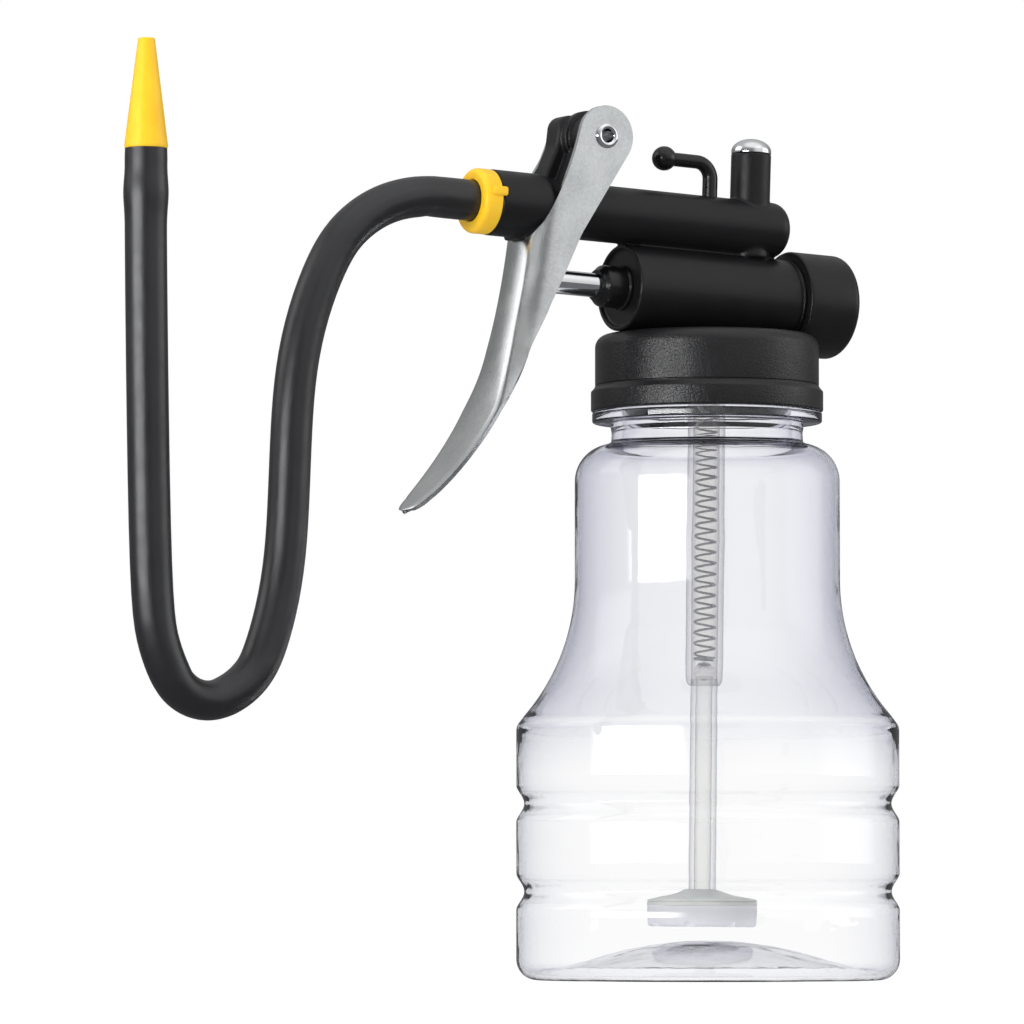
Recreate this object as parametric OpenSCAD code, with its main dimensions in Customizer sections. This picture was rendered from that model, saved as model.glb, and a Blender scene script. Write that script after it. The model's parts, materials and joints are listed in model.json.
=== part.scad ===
// Fluid transfer pump: a clear oil bottle with a screw lid, a squeeze-lever
// pump head, a dip tube with foot valve and strainer, and a flexible hose.
// Origin: centre of the bottle's base on the floor. +Z up, -X towards the hose.

/* [Bottle] */
// Outer radius of the bottle body
bottle_r = 46; // [45:0.5:47]
// Wall thickness of the bottle
bottle_t = 1.0; // [0.8:0.1:1.2]
// Outer radius of the cylindrical upper part
shoulder_r = 31.9; // [31:0.1:33]
// Outer radius of the neck
neck_r = 23.0; // [22.8:0.1:23.2]
// Height of the bottle's lip
lip_z = 149.0; // [148.8:0.1:149]
// Depth of the two grip grooves
groove_d = 1.9; // [1.0:0.1:2.2]

/* [Lid] */
// Outer radius of the lid above its lower band
lid_r = 27.0; // [26.8:0.1:27.4]
// Outer radius of the lid's lower band
lid_band_r = 28.0; // [27.8:0.1:28.4]
// Height of the lid's flat top
lid_top_z = 155.2; // [155.2:0.1:156]
// Pitch of the lid's screw thread
thread_pitch = 4.0; // [3.6:0.1:4.2]

/* [Pump head] */
// Height of the barrel's axis over the base centre
head_z = 164.7; // [164.6:0.1:164.8]
// Upward tilt of the head towards the hose, in degrees
head_tilt = 2; // [1.5:0.5:2.5]
// Outer radius of the pump barrel
barrel_r = 10.4; // [10.2:0.1:10.6]
// Bore radius of the pump barrel
bore_r = 7.5; // [7.4:0.1:7.6]
// Radius of the piston rod
rod_r = 2.9; // [2.8:0.1:3.0]
// Outer radius of the upper tube
tube_r = 6.8; // [6.7:0.1:7.0]
// Height of the upper tube's axis over the barrel's axis
tube_h = 17.35; // [17.2:0.05:17.5]
// Outer radius of the rear cap
cap_r = 12.6; // [12.4:0.1:12.7]

/* [Lever] */
// Thickness of the lever's sheet metal
lever_t = 1.2; // [1.0:0.1:1.4]
// Distance from the middle plane to the inner face of a lever cheek
lever_in = 7.9; // [7.9:0.1:8.2]

/* [Hose] */
// Outer radius of the hose
hose_r = 4.87; // [4.8:0.01:4.88]
// Bore radius of the hose
hose_in = 2.75; // [2.6:0.05:2.8]
// Height of the nozzle's tip
nozzle_z = 217.3; // [214:0.1:220]

/* [Suction] */
// Lean of the dip tube, in degrees
lean = 0.75; // [0:0.25:1]
// Outer radius of the strainer
strainer_r = 13.25; // [12.5:0.25:14]

/* [Hidden] */
$fn = 96;

black = [0.13, 0.13, 0.14];
steel = [0.78, 0.80, 0.80];
yellow = [0.97, 0.83, 0.17];
seal_grey = [0.25, 0.25, 0.25];
seal_black = [0.2, 0.2, 0.2];

// ---------- helpers ----------
function reverse(list) = [for (i = [len(list) - 1:-1:0]) list[i]];
function last(list) = list[len(list) - 1];
function arc(centre, radius, from, to, steps) =
  [for (i = [0:steps]) let (angle = from + (to - from) * i / steps)
    centre + radius * [cos(angle), sin(angle)]];

// A path is a list of [radius, turn in degrees], or [0, length] for a straight;
// a positive turn is anticlockwise. A pose on it is [x, z, heading].
// pose after a share of one segment
function advance(segment, pose, share = 1) =
  let (radius = segment[0], travel = segment[1] * share, heading = pose[2],
    swing = radius * sign(segment[1]))
  radius == 0
    ? [pose.x + travel * cos(heading), pose.y + travel * sin(heading), heading]
    : [pose.x + swing * (sin(heading + travel) - sin(heading)),
       pose.y + swing * (cos(heading) - cos(heading + travel)), heading + travel];
// poses along a path; without arc_steps an arc is cut at most 6.5 degrees apart
function poses(path, pose, arc_steps = 0, i = 0) =
  i == len(path) ? [pose] :
  let (steps = path[i][0] == 0 ? 1 : arc_steps > 0 ? arc_steps : ceil(abs(path[i][1]) / 6.5))
  concat([for (k = [0:steps - 1]) advance(path[i], pose, k / steps)],
    poses(path, advance(path[i], pose), arc_steps, i + 1));
// point at a distance to the left of a pose
function beside(pose, distance) =
  [pose.x - distance * sin(pose[2]), pose.y + distance * cos(pose[2])];

// triangles between two rings of points, given the index of each ring's first point
function band(first, next, sides) =
  [for (j = [0:sides - 1]) let (k = (j + 1) % sides)
    each [[first + j, first + k, next + j], [first + k, next + k, next + j]]];
function skin(rings, sides, first = 0) =
  [for (i = [0:rings - 2]) each band(first + i * sides, first + (i + 1) * sides, sides)];
function flipped(faces) = [for (face = faces) reverse(face)];
// closed solid through a list of rings
module swept(rings) {
  sides = len(rings[0]);
  end = (len(rings) - 1) * sides;
  caps = [[for (j = [sides - 1:-1:0]) j], [for (j = [0:sides - 1]) end + j]];
  polyhedron(points = [for (ring = rings) each ring],
    faces = concat(skin(len(rings), sides), caps), convexity = 10);
}
// screw thread around Z; the profile holds [outwards, up] from the given radius
module thread(radius, profile) {
  turns = 1.5;
  steps = 36;
  swept([for (i = [0:turns * steps]) let (angle = 360 * i / steps)
    [for (corner = profile) let (reach = radius + corner.x)
      [reach * cos(angle), reach * sin(angle), corner.y + thread_pitch * i / steps]]]);
}
// round-wire spring along +Z with closed end coils; steps are per turn
module spring(radius, wire_r, z_start, z_end, turns, steps, sides) {
  closed = 1.1; // closed coils at each end
  closed_pitch = 2.04 * wire_r;
  closed_rise = closed_pitch * closed;
  travel = z_end - z_start - 2 * wire_r;
  count = round(turns * steps);
  function rise(coil) = coil < closed ? closed_pitch * coil
    : coil > turns - closed ? travel - closed_pitch * (turns - coil)
    : closed_rise + (coil - closed) / (turns - 2 * closed) * (travel - 2 * closed_rise);
  swept([for (i = [0:count]) let (coil = turns * i / count, angle = 360 * coil)
    [for (j = [0:sides - 1])
      let (around = 360 * j / sides, reach = radius + wire_r * cos(around))
      [reach * cos(angle), reach * sin(angle),
        z_start + wire_r + rise(coil) + wire_r * 0.97 * sin(around)]]]);
}

// cylinder along +X
module xcyl(x_start, x_end, radius) {
  translate([x_start, 0, 0]) rotate([0, 90, 0]) cylinder(h = x_end - x_start, r = radius);
}
// turns a profile of [x, radius] around the X axis
module xturn(profile) {
  rotate([0, 90, 0]) rotate_extrude() polygon([for (point = profile) [point.y, point.x]]);
}
module tube_z(outer, inner, height) {
  difference() {
    cylinder(h = height, r = outer);
    translate([0, 0, -1]) cylinder(h = height + 2, r = inner);
  }
}
module tube_x(x_start, x_end, outer, inner) {
  difference() {
    xcyl(x_start, x_end, outer);
    xcyl(x_start - 1, x_end + 1, inner);
  }
}
// a 2D shape in X and Z made into a plate that reaches from y towards -Y
module plate(y, width) {
  translate([0, y, 0]) rotate([90, 0, 0]) linear_extrude(width) children();
}

// tilted frame of the pump head, its origin on the barrel's axis
module in_head() { translate([0, 0, head_z]) rotate([0, head_tilt, 0]) children(); }
// [x, z] in the head's frame, as [x, z] over the floor
function from_head(point) =
  [point.x * cos(head_tilt) + point.y * sin(head_tilt),
    head_z - point.x * sin(head_tilt) + point.y * cos(head_tilt)];
// from the barrel's axis to the upper tube's
module on_tube() { translate([0, 0, tube_h]) children(); }
// leaning frame of the suction line, z measured from the floor
lean_z = 145;
module in_suction() {
  translate([0, 0, lean_z]) rotate([0, lean, 0]) translate([0, 0, -lean_z]) children();
}

// ---------- bottle ----------
base_round = 5; // outer radius of the base's rounded edge
groove_zs = [21.2, 42.3];
flank_r = 50; // hollow flank between body and upper part
flank_centre = [shoulder_r + flank_r, 96.1];
shoulder_round = 8.9;
shoulder_centre = [shoulder_r - shoulder_round, 119.8];

// raised centre of the base, from its middle outwards
function dome(z) = [for (i = [0:8]) [i * 4.4, z - 7.2 * pow(i / 8, 2)]];
function grooves(radius) =
  [for (z = groove_zs) for (i = [-4:4]) [radius - groove_d * cos(i * 22.5), z + i * 1.05]];
// half profiles as [radius, z]: outer one upwards, inner one downwards
bottle_outer = concat(
  dome(8.4), [[38.6, 0.2], [39.6, 0]],
  arc([bottle_r - base_round, base_round], base_round, -90, 0, 8),
  grooves(bottle_r),
  [[bottle_r, 60.0], [bottle_r - 0.3, 61.2]],
  arc(flank_centre, flank_r, 223.3, 180, 10),
  arc(shoulder_centre, shoulder_round, 0, 83, 8),
  [[neck_r, 129.4], [neck_r, 131.2], [neck_r + 0.2, 132.6], [neck_r + 0.1, 133.9],
   [27.3, 133.9], [27.7, 134.3], [27.7, 136.1], [27.3, 136.5],
   [neck_r, 136.5], [neck_r, lip_z - 0.5], [neck_r - 0.5, lip_z]]);
bottle_inner = concat(
  [[20.9, lip_z], [20.5, lip_z - 0.4], [20.5, 130.2]],
  arc(shoulder_centre, shoulder_round - bottle_t, 81, 0, 6),
  arc(flank_centre, flank_r + bottle_t, 180, 222.6, 10),
  [[bottle_r - bottle_t, 60.2]],
  reverse(grooves(bottle_r - bottle_t)),
  arc([bottle_r - base_round, base_round], base_round - bottle_t, 0, -82, 6),
  [[39.4, 1.2]], reverse(dome(9.4)));
module bottle() {
  color([0.86, 0.88, 0.93, 0.35]) union() {
    rotate_extrude() polygon(concat(bottle_outer, bottle_inner));
    translate([0, 0, 140.2]) rotate([0, 0, 3.3])
      thread(neck_r, [[-0.4, -1.15], [1.2, -0.5], [1.2, 0.5], [-0.4, 1.15]]);
  }
}

// ---------- lid ----------
ceil_z = 150.4; // underside of the lid's top
band_z = 136.7; // underside of the lower band
lid_in = 24.8; // inner radius of the skirt
lid_round = 3.2;
spigot_r = 8.0; // threaded spigot of the pump body
nut_z = 143.6;
nut_h = 5.2;
nut_top = nut_z + nut_h;
vent_y = 15.8; // axis of the air passage
vent_r = 0.8;

module lid() {
  color(black) union() {
    difference() {
      rotate_extrude() polygon(concat(
        [[lid_in, band_z], [lid_band_r - 0.4, band_z], [lid_band_r, band_z + 0.4],
         [lid_band_r, 141.2], [lid_r + 0.15, 142.2], [lid_r + 0.15, 142.5],
         [lid_r - 0.25, 142.6], [lid_r - 0.25, 142.9], [lid_r, 143.1]],
        arc([lid_r - lid_round, lid_top_z - lid_round], lid_round, 0, 90, 8),
        [[spigot_r + 0.05, lid_top_z], [spigot_r + 0.05, ceil_z],
         [lid_in - 0.5, ceil_z], [lid_in, ceil_z - 0.5]]));
      // saddle for the barrel and hollow for the rear cap
      in_head() xcyl(-26, 22.2, barrel_r + 0.12);
      in_head() xcyl(22.1, 40, cap_r + 0.15);
      // air passage over the vent valve
      translate([0, vent_y, 140]) cylinder(h = 20, r = vent_r);
    }
    translate([0, 0, 139.24]) rotate([0, 0, 43.7])
      thread(lid_in, [[0.5, 1.2], [-1.2, 0.5], [-1.2, -0.5], [0.5, -1.2]]);
  }
}
module lid_gasket() {
  color([0.75, 0.75, 0.72]) translate([0, 0, lip_z]) tube_z(24.0, 19.8, ceil_z - lip_z);
}
module lid_nut() {
  color([0.2, 0.2, 0.21]) difference() {
    translate([0, 0, nut_z]) cylinder(h = nut_h, r = 12.6, $fn = 6);
    translate([0, 0, nut_z - 0.6]) cylinder(h = 7, r = spigot_r + 0.02);
  }
}
module nut_gasket() {
  color(seal_grey) translate([0, 0, nut_top]) tube_z(11.4, spigot_r + 0.05, ceil_z - nut_top);
}
// flared valve under the air passage, with a slit across its stem's lower end
module vent_valve() {
  stem_r = 1.6;
  color([0.3, 0.3, 0.3]) translate([0, vent_y, 0]) difference() {
    union() {
      translate([0, 0, 148.0]) cylinder(h = 2.4, r1 = stem_r, r2 = 2 * stem_r);
      translate([0, 0, 145.2]) cylinder(h = 2.9, r = stem_r);
    }
    translate([0, 0, 146.4]) cylinder(h = 4.1, r = vent_r);
    translate([-3, -0.1, 145]) cube([6, 0.2, 1.5]);
  }
}

// ---------- pump head, in its own frame ----------
pivot = [-34.94, 34.8]; // lever pivot, [x, z]
pivot_post_y = 7; // outer faces of the lever post
post_x = 11.55; // outlet valve post
post_r = 4.85;
post_top = 35.5;
chamber_r = 3.2; // outlet valve chamber
chamber_z = 14;
port_r = 1.5; // inlet and outlet passages
barrel_end = 28;
cap_seal_end = barrel_end + 0.8;
cap_floor = 33; // inner end of the rear cap
cap_in = 7.0;
gland_end = -22.2;
piston_x = -19.5; // piston's front face at rest
piston_len = 7;
piston_end = piston_x + piston_len;
piston_r = 7.4;
stud_r = 2.0; // rod inside piston and nut
rod_tip = -51.95; // parked tip of the rod

// outlines of the lever post, measured from the pivot
module post_near() {
  translate(pivot) union() {
    circle(r = 5.9);
    polygon([[-5.2, -2.6], [-8.5, -12], [0.5, -12], [5.0, -3]]);
  }
}
module post_far() {
  translate(pivot) union() {
    for (corner = [[-3.4, 2.1], [1.2, 1.5]]) translate(corner) circle(r = 3.6);
    polygon([[-3.4, 5.7], [1.2, 5.1], [4.8, 1.5], [3.0, -12],
      [-11.7, -12], [-10.36, -8.3], [-7.8, -2.1], [-6.96, 2.1]]);
  }
}
module head_solid() {
  // barrel with a rounded front rim and a narrow groove before the cap
  xturn(concat(
    [[-23.9, 0], [-23.9, 8.9], [-24.3, 9.3], [-24.8, 9.5]],
    arc([-24.3, barrel_r - 0.45], 0.5, 180, 90, 4),
    [[-23.7, barrel_r + 0.05], [-23.3, barrel_r], [20.9, barrel_r], [21.0, barrel_r - 0.5],
     [21.4, barrel_r - 0.5], [21.5, barrel_r], [22.0, barrel_r], [22.1, 10.0],
     [barrel_end, 10.0], [barrel_end, 0]]));
  // upper tube with a rounded rear end
  on_tube() xturn(concat([[-52, 0], [-52, tube_r]],
    arc([16.7, tube_r - 3.8], 3.8, 90, 0, 6), [[20.5, 0]]));
  // socket for the hose
  on_tube() xturn([[-61.85, 0], [-61.85, 7.55], [-61.55, 7.85], [-50.6, 7.85],
    [-48.6, 7.55], [-47.2, 6.9], [-46.6, 5.5], [-46.6, 0]]);
  // web between barrel and tube
  translate([-21, -2.4, 8.5]) cube([39.5, 4.8, 5]);
  // outlet valve post with a chamfered top
  translate([post_x, 0, 10]) cylinder(h = post_top - 10.4, r = post_r);
  translate([post_x, 0, post_top - 0.4]) cylinder(h = 0.4, r1 = post_r, r2 = 4.5);
  // lever post: -Y boss, middle disc and +Y slanted part
  plate(1, 1 + pivot_post_y) post_near();
  plate(1.3, 2.6) translate(pivot) circle(r = 6.8);
  plate(pivot_post_y, 6.2) post_far();
  // stop under the socket for the lever's upper edge
  translate([-55.6, -3.2, tube_h - 8.5]) cube([2.2, 6.4, 3.4]);
}
module head_hollows() {
  // working bore, front wall with the gland's hole and the seal's pocket
  xcyl(-20, 30, bore_r);
  xcyl(-25, -20.6, 4.5);
  xcyl(-25, -19, rod_r + 0.15);
  // outlet port, valve chamber and delivery passage
  translate([post_x, 0, 5]) cylinder(h = 9, r = port_r);
  translate([post_x, 0, chamber_z - 1.4]) cylinder(h = 1.4, r1 = port_r, r2 = chamber_r);
  translate([post_x, 0, chamber_z]) cylinder(h = 30, r = chamber_r);
  on_tube() xcyl(-63, post_x, 2.4);
  // swivel seat of the hose's barb, and the seat of the collar
  on_tube() xcyl(-63, -49, 4.55);
  on_tube() xcyl(-63, -54.6, 6.02);
  // notch for the collar's key
  translate([-62.5, -8.4, tube_h + 0.8]) cube([1.7, 2.9, 2.3]);
  // rivet bore across the lever post
  translate([pivot.x, 0, pivot.y]) rotate([90, 0, 0])
    cylinder(h = 30, r = rivet_r + 0.05, center = true);
  // screw hole of the hook
  translate([0, 0, tube_h + 4.2]) cylinder(h = 8, r = 1.86);
}
module pump_body() {
  color(black) union() {
    difference() {
      union() {
        in_head() head_solid();
        // threaded spigot through the lid
        translate([0, 0, 140]) cylinder(h = 15.1, r = spigot_r);
      }
      in_head() head_hollows();
      // seat of the suction sleeve and the slanted inlet passage into the barrel
      in_suction() translate([0, 0, 139]) cylinder(h = 11.6, r = sleeve_r + 0.02);
      translate([0, 0, 148.5]) rotate([0, 24, 0]) cylinder(h = 12.5, r = port_r);
    }
  }
}
module rear_cap() {
  cap_round = 4.2;
  color(black) in_head() {
    difference() {
      xturn(concat([[22.3, 9.0], [22.3, cap_r - 0.4], [22.6, cap_r]],
        arc([32.7, cap_r - cap_round], cap_round, 90, 0, 8),
        [[32.7 + cap_round, 0], [33.4, 0], [33.4, 9.0]]));
      xcyl(20, cap_seal_end, 10.03);
      xcyl(barrel_end, cap_floor, cap_in);
    }
    tube_x(cap_seal_end, cap_floor + 0.5, 10.6, cap_in);
  }
}
module rear_cap_seal() {
  color(seal_grey) in_head() tube_x(barrel_end, cap_seal_end, 9.9, bore_r);
}
module gland_nut() {
  color(black) in_head() difference() {
    xturn([[-31.5, 0], [-31.5, 3.6], [-31.1, 4.0], [-30.2, 4.8], [-29.7, 5.05],
      [-25.0, 5.05], [-24.6, 5.4], [-23.95, 5.4], [-23.95, 4.48],
      [gland_end, 4.48], [gland_end, 0]]);
    xcyl(-33, -20, rod_r + 0.05);
  }
}
module rod_seal() { color(seal_grey) in_head() tube_x(gland_end, -20.65, 4.45, rod_r + 0.03); }
module piston_rod() {
  tip_r = 4.5; // radius of the domed tip
  color(steel) in_head() xturn(concat(
    arc([rod_tip + tip_r, 0], tip_r, 180, 152, 4),
    [[rod_tip + 1.1, rod_r - 0.4], [rod_tip + 1.6, rod_r],
     [piston_x, rod_r], [piston_x, stud_r], [piston_end + 4.2, stud_r],
     [piston_end + 4.5, stud_r - 0.3], [piston_end + 4.5, 0]]));
}
module piston() {
  hole_r = stud_r + 0.02;
  color([0.5, 0.5, 0.52]) in_head() xturn([
    [piston_x + 0.02, hole_r], [piston_x + 0.02, piston_r - 0.3],
    [piston_x + 0.32, piston_r], [piston_x + 2.0, piston_r],
    [piston_x + 2.0, 5.8], [piston_x + 5.0, 5.8], [piston_x + 5.0, piston_r],
    [piston_end - 0.3, piston_r], [piston_end, piston_r - 0.3], [piston_end, hole_r]]);
}
module piston_seal() {
  rim_r = bore_r - 0.03;
  color(seal_black) in_head() xturn([
    [piston_x + 2.1, 5.82], [piston_x + 4.9, 5.82], [piston_x + 4.9, 7.2],
    [piston_x + 4.5, rim_r], [piston_x + 2.5, rim_r], [piston_x + 2.1, 7.2]]);
}
module piston_nut() {
  color(steel) in_head() difference() {
    translate([piston_end + 0.02, 0, 0]) rotate([0, 90, 0]) cylinder(h = 3.2, r = 4.0, $fn = 6);
    xcyl(piston_x, piston_end + 6, stud_r + 0.02);
  }
}
module return_spring() {
  color(steel) in_head() rotate([0, 90, 0])
    spring(radius = 5.6, wire_r = 0.65, z_start = piston_end + 0.03,
      z_end = cap_floor - 0.03, turns = 10, steps = 16, sides = 6);
}

// ---------- lever ----------
lever_out = lever_in + lever_t;
rivet_r = 2.2;
lever_pivot = from_head(pivot);
// outer face of the web, from its upper edge down to the rounded tip
web_top = [-51.826, 175.7];
web_poses = poses([[197, -8.24], [64, -18.5], [94, -16]],
  [web_top.x, web_top.y, 270 - 8.26], arc_steps = 7);
// the part of that face along the cheeks
cheek_edge = [for (pose = web_poses) if (pose.y > 139) [pose.x, pose.y]];
tip_z = last(web_poses).y;
tip_round = 4.2; // height of the tip's rounding
tip_half = 5.4; // half width above the rounding
round_top = tip_z + tip_round;
flare_top = 138; // full width from here up

module web_side() {
  polygon(concat([for (pose = web_poses) [pose.x, pose.y]],
    reverse([for (pose = web_poses) beside(pose, lever_t)])));
}
module cheek_side(eye_r) {
  union() {
    translate(lever_pivot) circle(r = eye_r);
    polygon(concat(
      [lever_pivot + eye_r * [-0.985, 0.16], [-44, 192], [-49.6, 180], web_top],
      cheek_edge,
      [last(cheek_edge) + [lever_t, 0], [-54.2, 148.6], [-49.2, 160], [-46.0, 166],
       [-40.7, 177], lever_pivot + eye_r * [0.836, -0.548]]));
  }
}
// half width of the lever seen along X, at height z
function half_width(z) =
  z > flare_top ? lever_out
  : z > round_top
    ? tip_half + (lever_out - tip_half) * pow((z - round_top) / (flare_top - round_top), 0.45)
  : tip_half * sqrt(max(0, 1 - pow((round_top - z) / tip_round, 2)));
width_zs = concat(
  [for (i = [0:8]) tip_z - 0.01 + tip_round * (1 - cos(i * 90 / 8))],
  [for (i = [1:8]) round_top + (flare_top + 0.2 - round_top) * i / 8],
  [215]);
// onto the pivot, local Z across the lever
module at_pivot() {
  translate([lever_pivot.x, 0, lever_pivot.y]) rotate([90, 0, 0]) children();
}
module lever() {
  color(steel) difference() {
    union() {
      // cheeks on the -Y and +Y side, each with its own eye radius
      plate(-lever_in, lever_t) cheek_side(7.3);
      plate(lever_out, lever_t) cheek_side(5.6);
      intersection() {
        plate(12, 24) web_side();
        translate([-100, 0, 0]) rotate([90, 0, 90]) linear_extrude(70)
          polygon(concat([for (z = width_zs) [half_width(z), z]],
            reverse([for (z = width_zs) [-half_width(z), z]])));
      }
    }
    at_pivot() cylinder(h = 40, r = rivet_r + 0.02, center = true);
  }
}
module pivot_rivet() {
  // one end as [radius, distance from the middle plane], inwards
  end = [[0, lever_out + 0.75], [2.5, lever_out + 0.75], [2.95, lever_out + 0.45],
    [2.95, lever_out + 0.02], [rivet_r, lever_out + 0.02]];
  color(steel) at_pivot() difference() {
    rotate_extrude() polygon(concat([for (point = end) [point.x, -point.y]], reverse(end)));
    cylinder(h = 40, r = 1.6, center = true);
  }
}
module pivot_washers() {
  gap = 0.03;
  color(steel) at_pivot() for (side = [0, 1]) mirror([0, 0, side])
    translate([0, 0, pivot_post_y + gap])
      tube_z(4.2, rivet_r + 0.04, lever_in - pivot_post_y - 2 * gap);
}

// ---------- outlet valve, plug and hook ----------
plug_r = 3.17;
plug_z = 28; // lower end of the plug
module in_post(z = 0) { in_head() translate([post_x, 0, z]) children(); }
module outlet_ball() { color(steel) in_post(chamber_z + 0.62) sphere(r = 2.5); }
module outlet_spring() {
  color(steel) in_post()
    spring(radius = 1.9, wire_r = 0.28, z_start = 16.6, z_end = plug_z - 0.03,
      turns = 7, steps = 12, sides = 5);
}
module valve_plug() {
  head = post_top + 0.02;
  color(steel) in_post() rotate_extrude() polygon(concat(
    [[0, plug_z], [plug_r, plug_z], [plug_r, 30.2], [2.3, 30.2], [2.3, 32.2],
     [plug_r, 32.2], [plug_r, head], [post_r, head]],
    [for (i = [0:8]) let (angle = i * 90 / 8)
      [post_r * cos(angle), post_top + 0.6 + 3.1 * sin(angle)]]));
}
module plug_seal() { color(seal_black) in_post(30.3) tube_z(plug_r, 2.32, 1.8); }
module hose_hook() {
  foot_z = tube_h + 4.25;
  arm_z = 32.25;
  arm_end = -13.2;
  bend_r = 4;
  color(black) in_head() union() {
    translate([0, 0, foot_z]) cylinder(h = arm_z - bend_r - foot_z, r = 1.84);
    translate([-bend_r, 0, arm_z - bend_r]) rotate([90, 0, 0])
      rotate_extrude(angle = 90) translate([bend_r, 0]) circle(r = 1.75, $fn = 48);
    translate([0, 0, arm_z]) xcyl(arm_end, -bend_r, 1.65);
    translate([arm_end, 0, arm_z]) sphere(r = 2.95, $fn = 48);
  }
}

// ---------- suction line ----------
sleeve_r = 4.5;
sleeve_z = 70.2;
sleeve_top = 150.5;
sleeve_in = 3.2; // bore above the dip tube
dip_r = 3.25;
dip_z = 16.4;
dip_top = 71.8;
dip_hole_r = dip_r + 0.02; // holes that take the dip tube
mesh_step = 2.9;
module suction_sleeve() {
  color([0.85, 0.87, 0.9, 0.5]) in_suction() rotate_extrude() polygon([
    [dip_hole_r, sleeve_z], [3.7, sleeve_z], [4.3, sleeve_z + 0.8], [sleeve_r, sleeve_z + 2.2],
    [sleeve_r, sleeve_top], [sleeve_in, sleeve_top],
    [sleeve_in, dip_top + 0.05], [dip_hole_r, dip_top + 0.02]]);
}
module suction_tube() {
  color([0.88, 0.88, 0.9, 0.6]) in_suction() translate([0, 0, dip_z])
    tube_z(dip_r, 2.0, dip_top - dip_z);
}
module suction_ball() {
  color(steel) in_suction() translate([0, 0, dip_top + 1.7]) sphere(r = 2.6, $fn = 64);
}
module suction_spring() {
  color(steel) in_suction()
    spring(radius = 2.45, wire_r = 0.3, z_start = dip_top + 4.45,
      z_end = sleeve_top - 0.1, turns = 30, steps = 12, sides = 5);
}
module strainer_cap() {
  color([0.62, 0.64, 0.62]) in_suction() rotate_extrude() polygon([
    [dip_hole_r, 17.6], [12.2, 17.6], [12.2, 17.0], [strainer_r, 17.0], [strainer_r, 18.4],
    [strainer_r - 0.35, 18.5], [strainer_r - 0.35, 18.7], [strainer_r, 18.8],
    [strainer_r, 19.2], [strainer_r - 0.5, 19.6], [10, 20.5], [6.5, 21.1], [dip_hole_r, 21.4]]);
}
module strainer_cup() {
  color([0.9, 0.9, 0.93, 0.8]) in_suction() difference() {
    rotate_extrude() polygon([
      [9.5, 12.7], [strainer_r - 0.5, 12.7], [strainer_r, 13.3], [strainer_r, 16.98],
      [12.18, 16.98], [12.18, 17.5], [11.6, 17.5], [11.6, 14.2], [9.5, 14.0]]);
    // eight notches around the lower rim
    for (angle = [0:45:315]) rotate([0, 0, angle])
      translate([strainer_r, 0, 12.6]) cylinder(h = 1.4, r = 1.3, $fn = 32);
  }
}
module strainer_mesh() {
  color([0.7, 0.7, 0.7]) in_suction() difference() {
    translate([0, 0, 14.25]) cylinder(h = 0.4, r = 11.5);
    for (i = [-3:3]) for (j = [-3:3]) if (i * i + j * j < 11)
      translate([i * mesh_step, j * mesh_step, 14]) cylinder(h = 1, r = 0.9, $fn = 8);
  }
}

// ---------- hose and nozzle ----------
barb_r = hose_in - 0.02; // barb and nozzle stem inside the hose
nozzle_base = 191.8;
// centre line in the middle plane, from the socket on; a last arc brings it upright
hose_path = [[0, 20.04], [30.01, 6.15], [30.86, 56.22], [74.85, 27.35], [0, 32.51],
  [74.92, -20.99], [19.12, -47.15], [10.91, -79.67], [42.07, -28.11]];
hose_start = concat(from_head([-56.9, tube_h]), [180 - head_tilt]);
last_turn = 90 - last(poses(hose_path, hose_start))[2];
curve_poses = poses(concat(hose_path, [[2499.84, last_turn]]), hose_start);
nozzle_x = last(curve_poses).x;
hose_poses = concat(curve_poses, [[nozzle_x, nozzle_base - 0.05, 90]]);

module hose() {
  sides = 28;
  count = len(hose_poses);
  end = (count - 1) * sides;
  inner = count * sides; // index of the inner skin's first point
  points = [for (radius = [hose_r, hose_in + 0.06]) for (pose = hose_poses)
    for (j = [0:sides - 1])
      let (angle = 360 * j / sides, spot = beside(pose, radius * cos(angle)))
      [spot.x, radius * sin(angle), spot.y]];
  color([0.17, 0.17, 0.18]) polyhedron(points = points, faces = concat(
    skin(count, sides), flipped(skin(count, sides, inner)),
    flipped(band(0, inner, sides)), band(end, inner + end, sides)), convexity = 10);
}
module hose_barb() {
  color([0.72, 0.6, 0.35]) in_head() on_tube() difference() {
    xturn([[-72, 0], [-72, 2.2], [-71.4, barb_r], [-69, barb_r], [-69, 2.5], [-68, 2.5],
      [-67.4, barb_r], [-56.85, barb_r], [-56.85, 5.7], [-54.8, 5.7], [-54.8, 4.5],
      [-53, 4.5], [-53, 3.6], [-51, 3.6], [-51, 4.5], [-49.3, 4.5], [-49.3, 0]]);
    xcyl(-73, -48, 1.7);
  }
}
module barb_seal() { color(seal_black) in_head() on_tube() tube_x(-52.9, -51.1, 4.52, 3.62); }
module hose_collar() {
  color(yellow) in_head() on_tube() difference() {
    union() {
      xturn(concat([[-66.6, 0], [-66.6, 5.85]], arc([-64.7, 5.85], 1.9, 180, 90, 6),
        [[-62.2, 7.75], [-61.9, 7.45], [-61.9, 6.0], [-57, 6.0], [-57, 0]]));
      // key that sits in the socket's notch
      translate([-65, -8.2, 0.9]) cube([4.1, 2.0, 2.1]);
    }
    xcyl(-70, -55, 4.95);
  }
}
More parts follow.
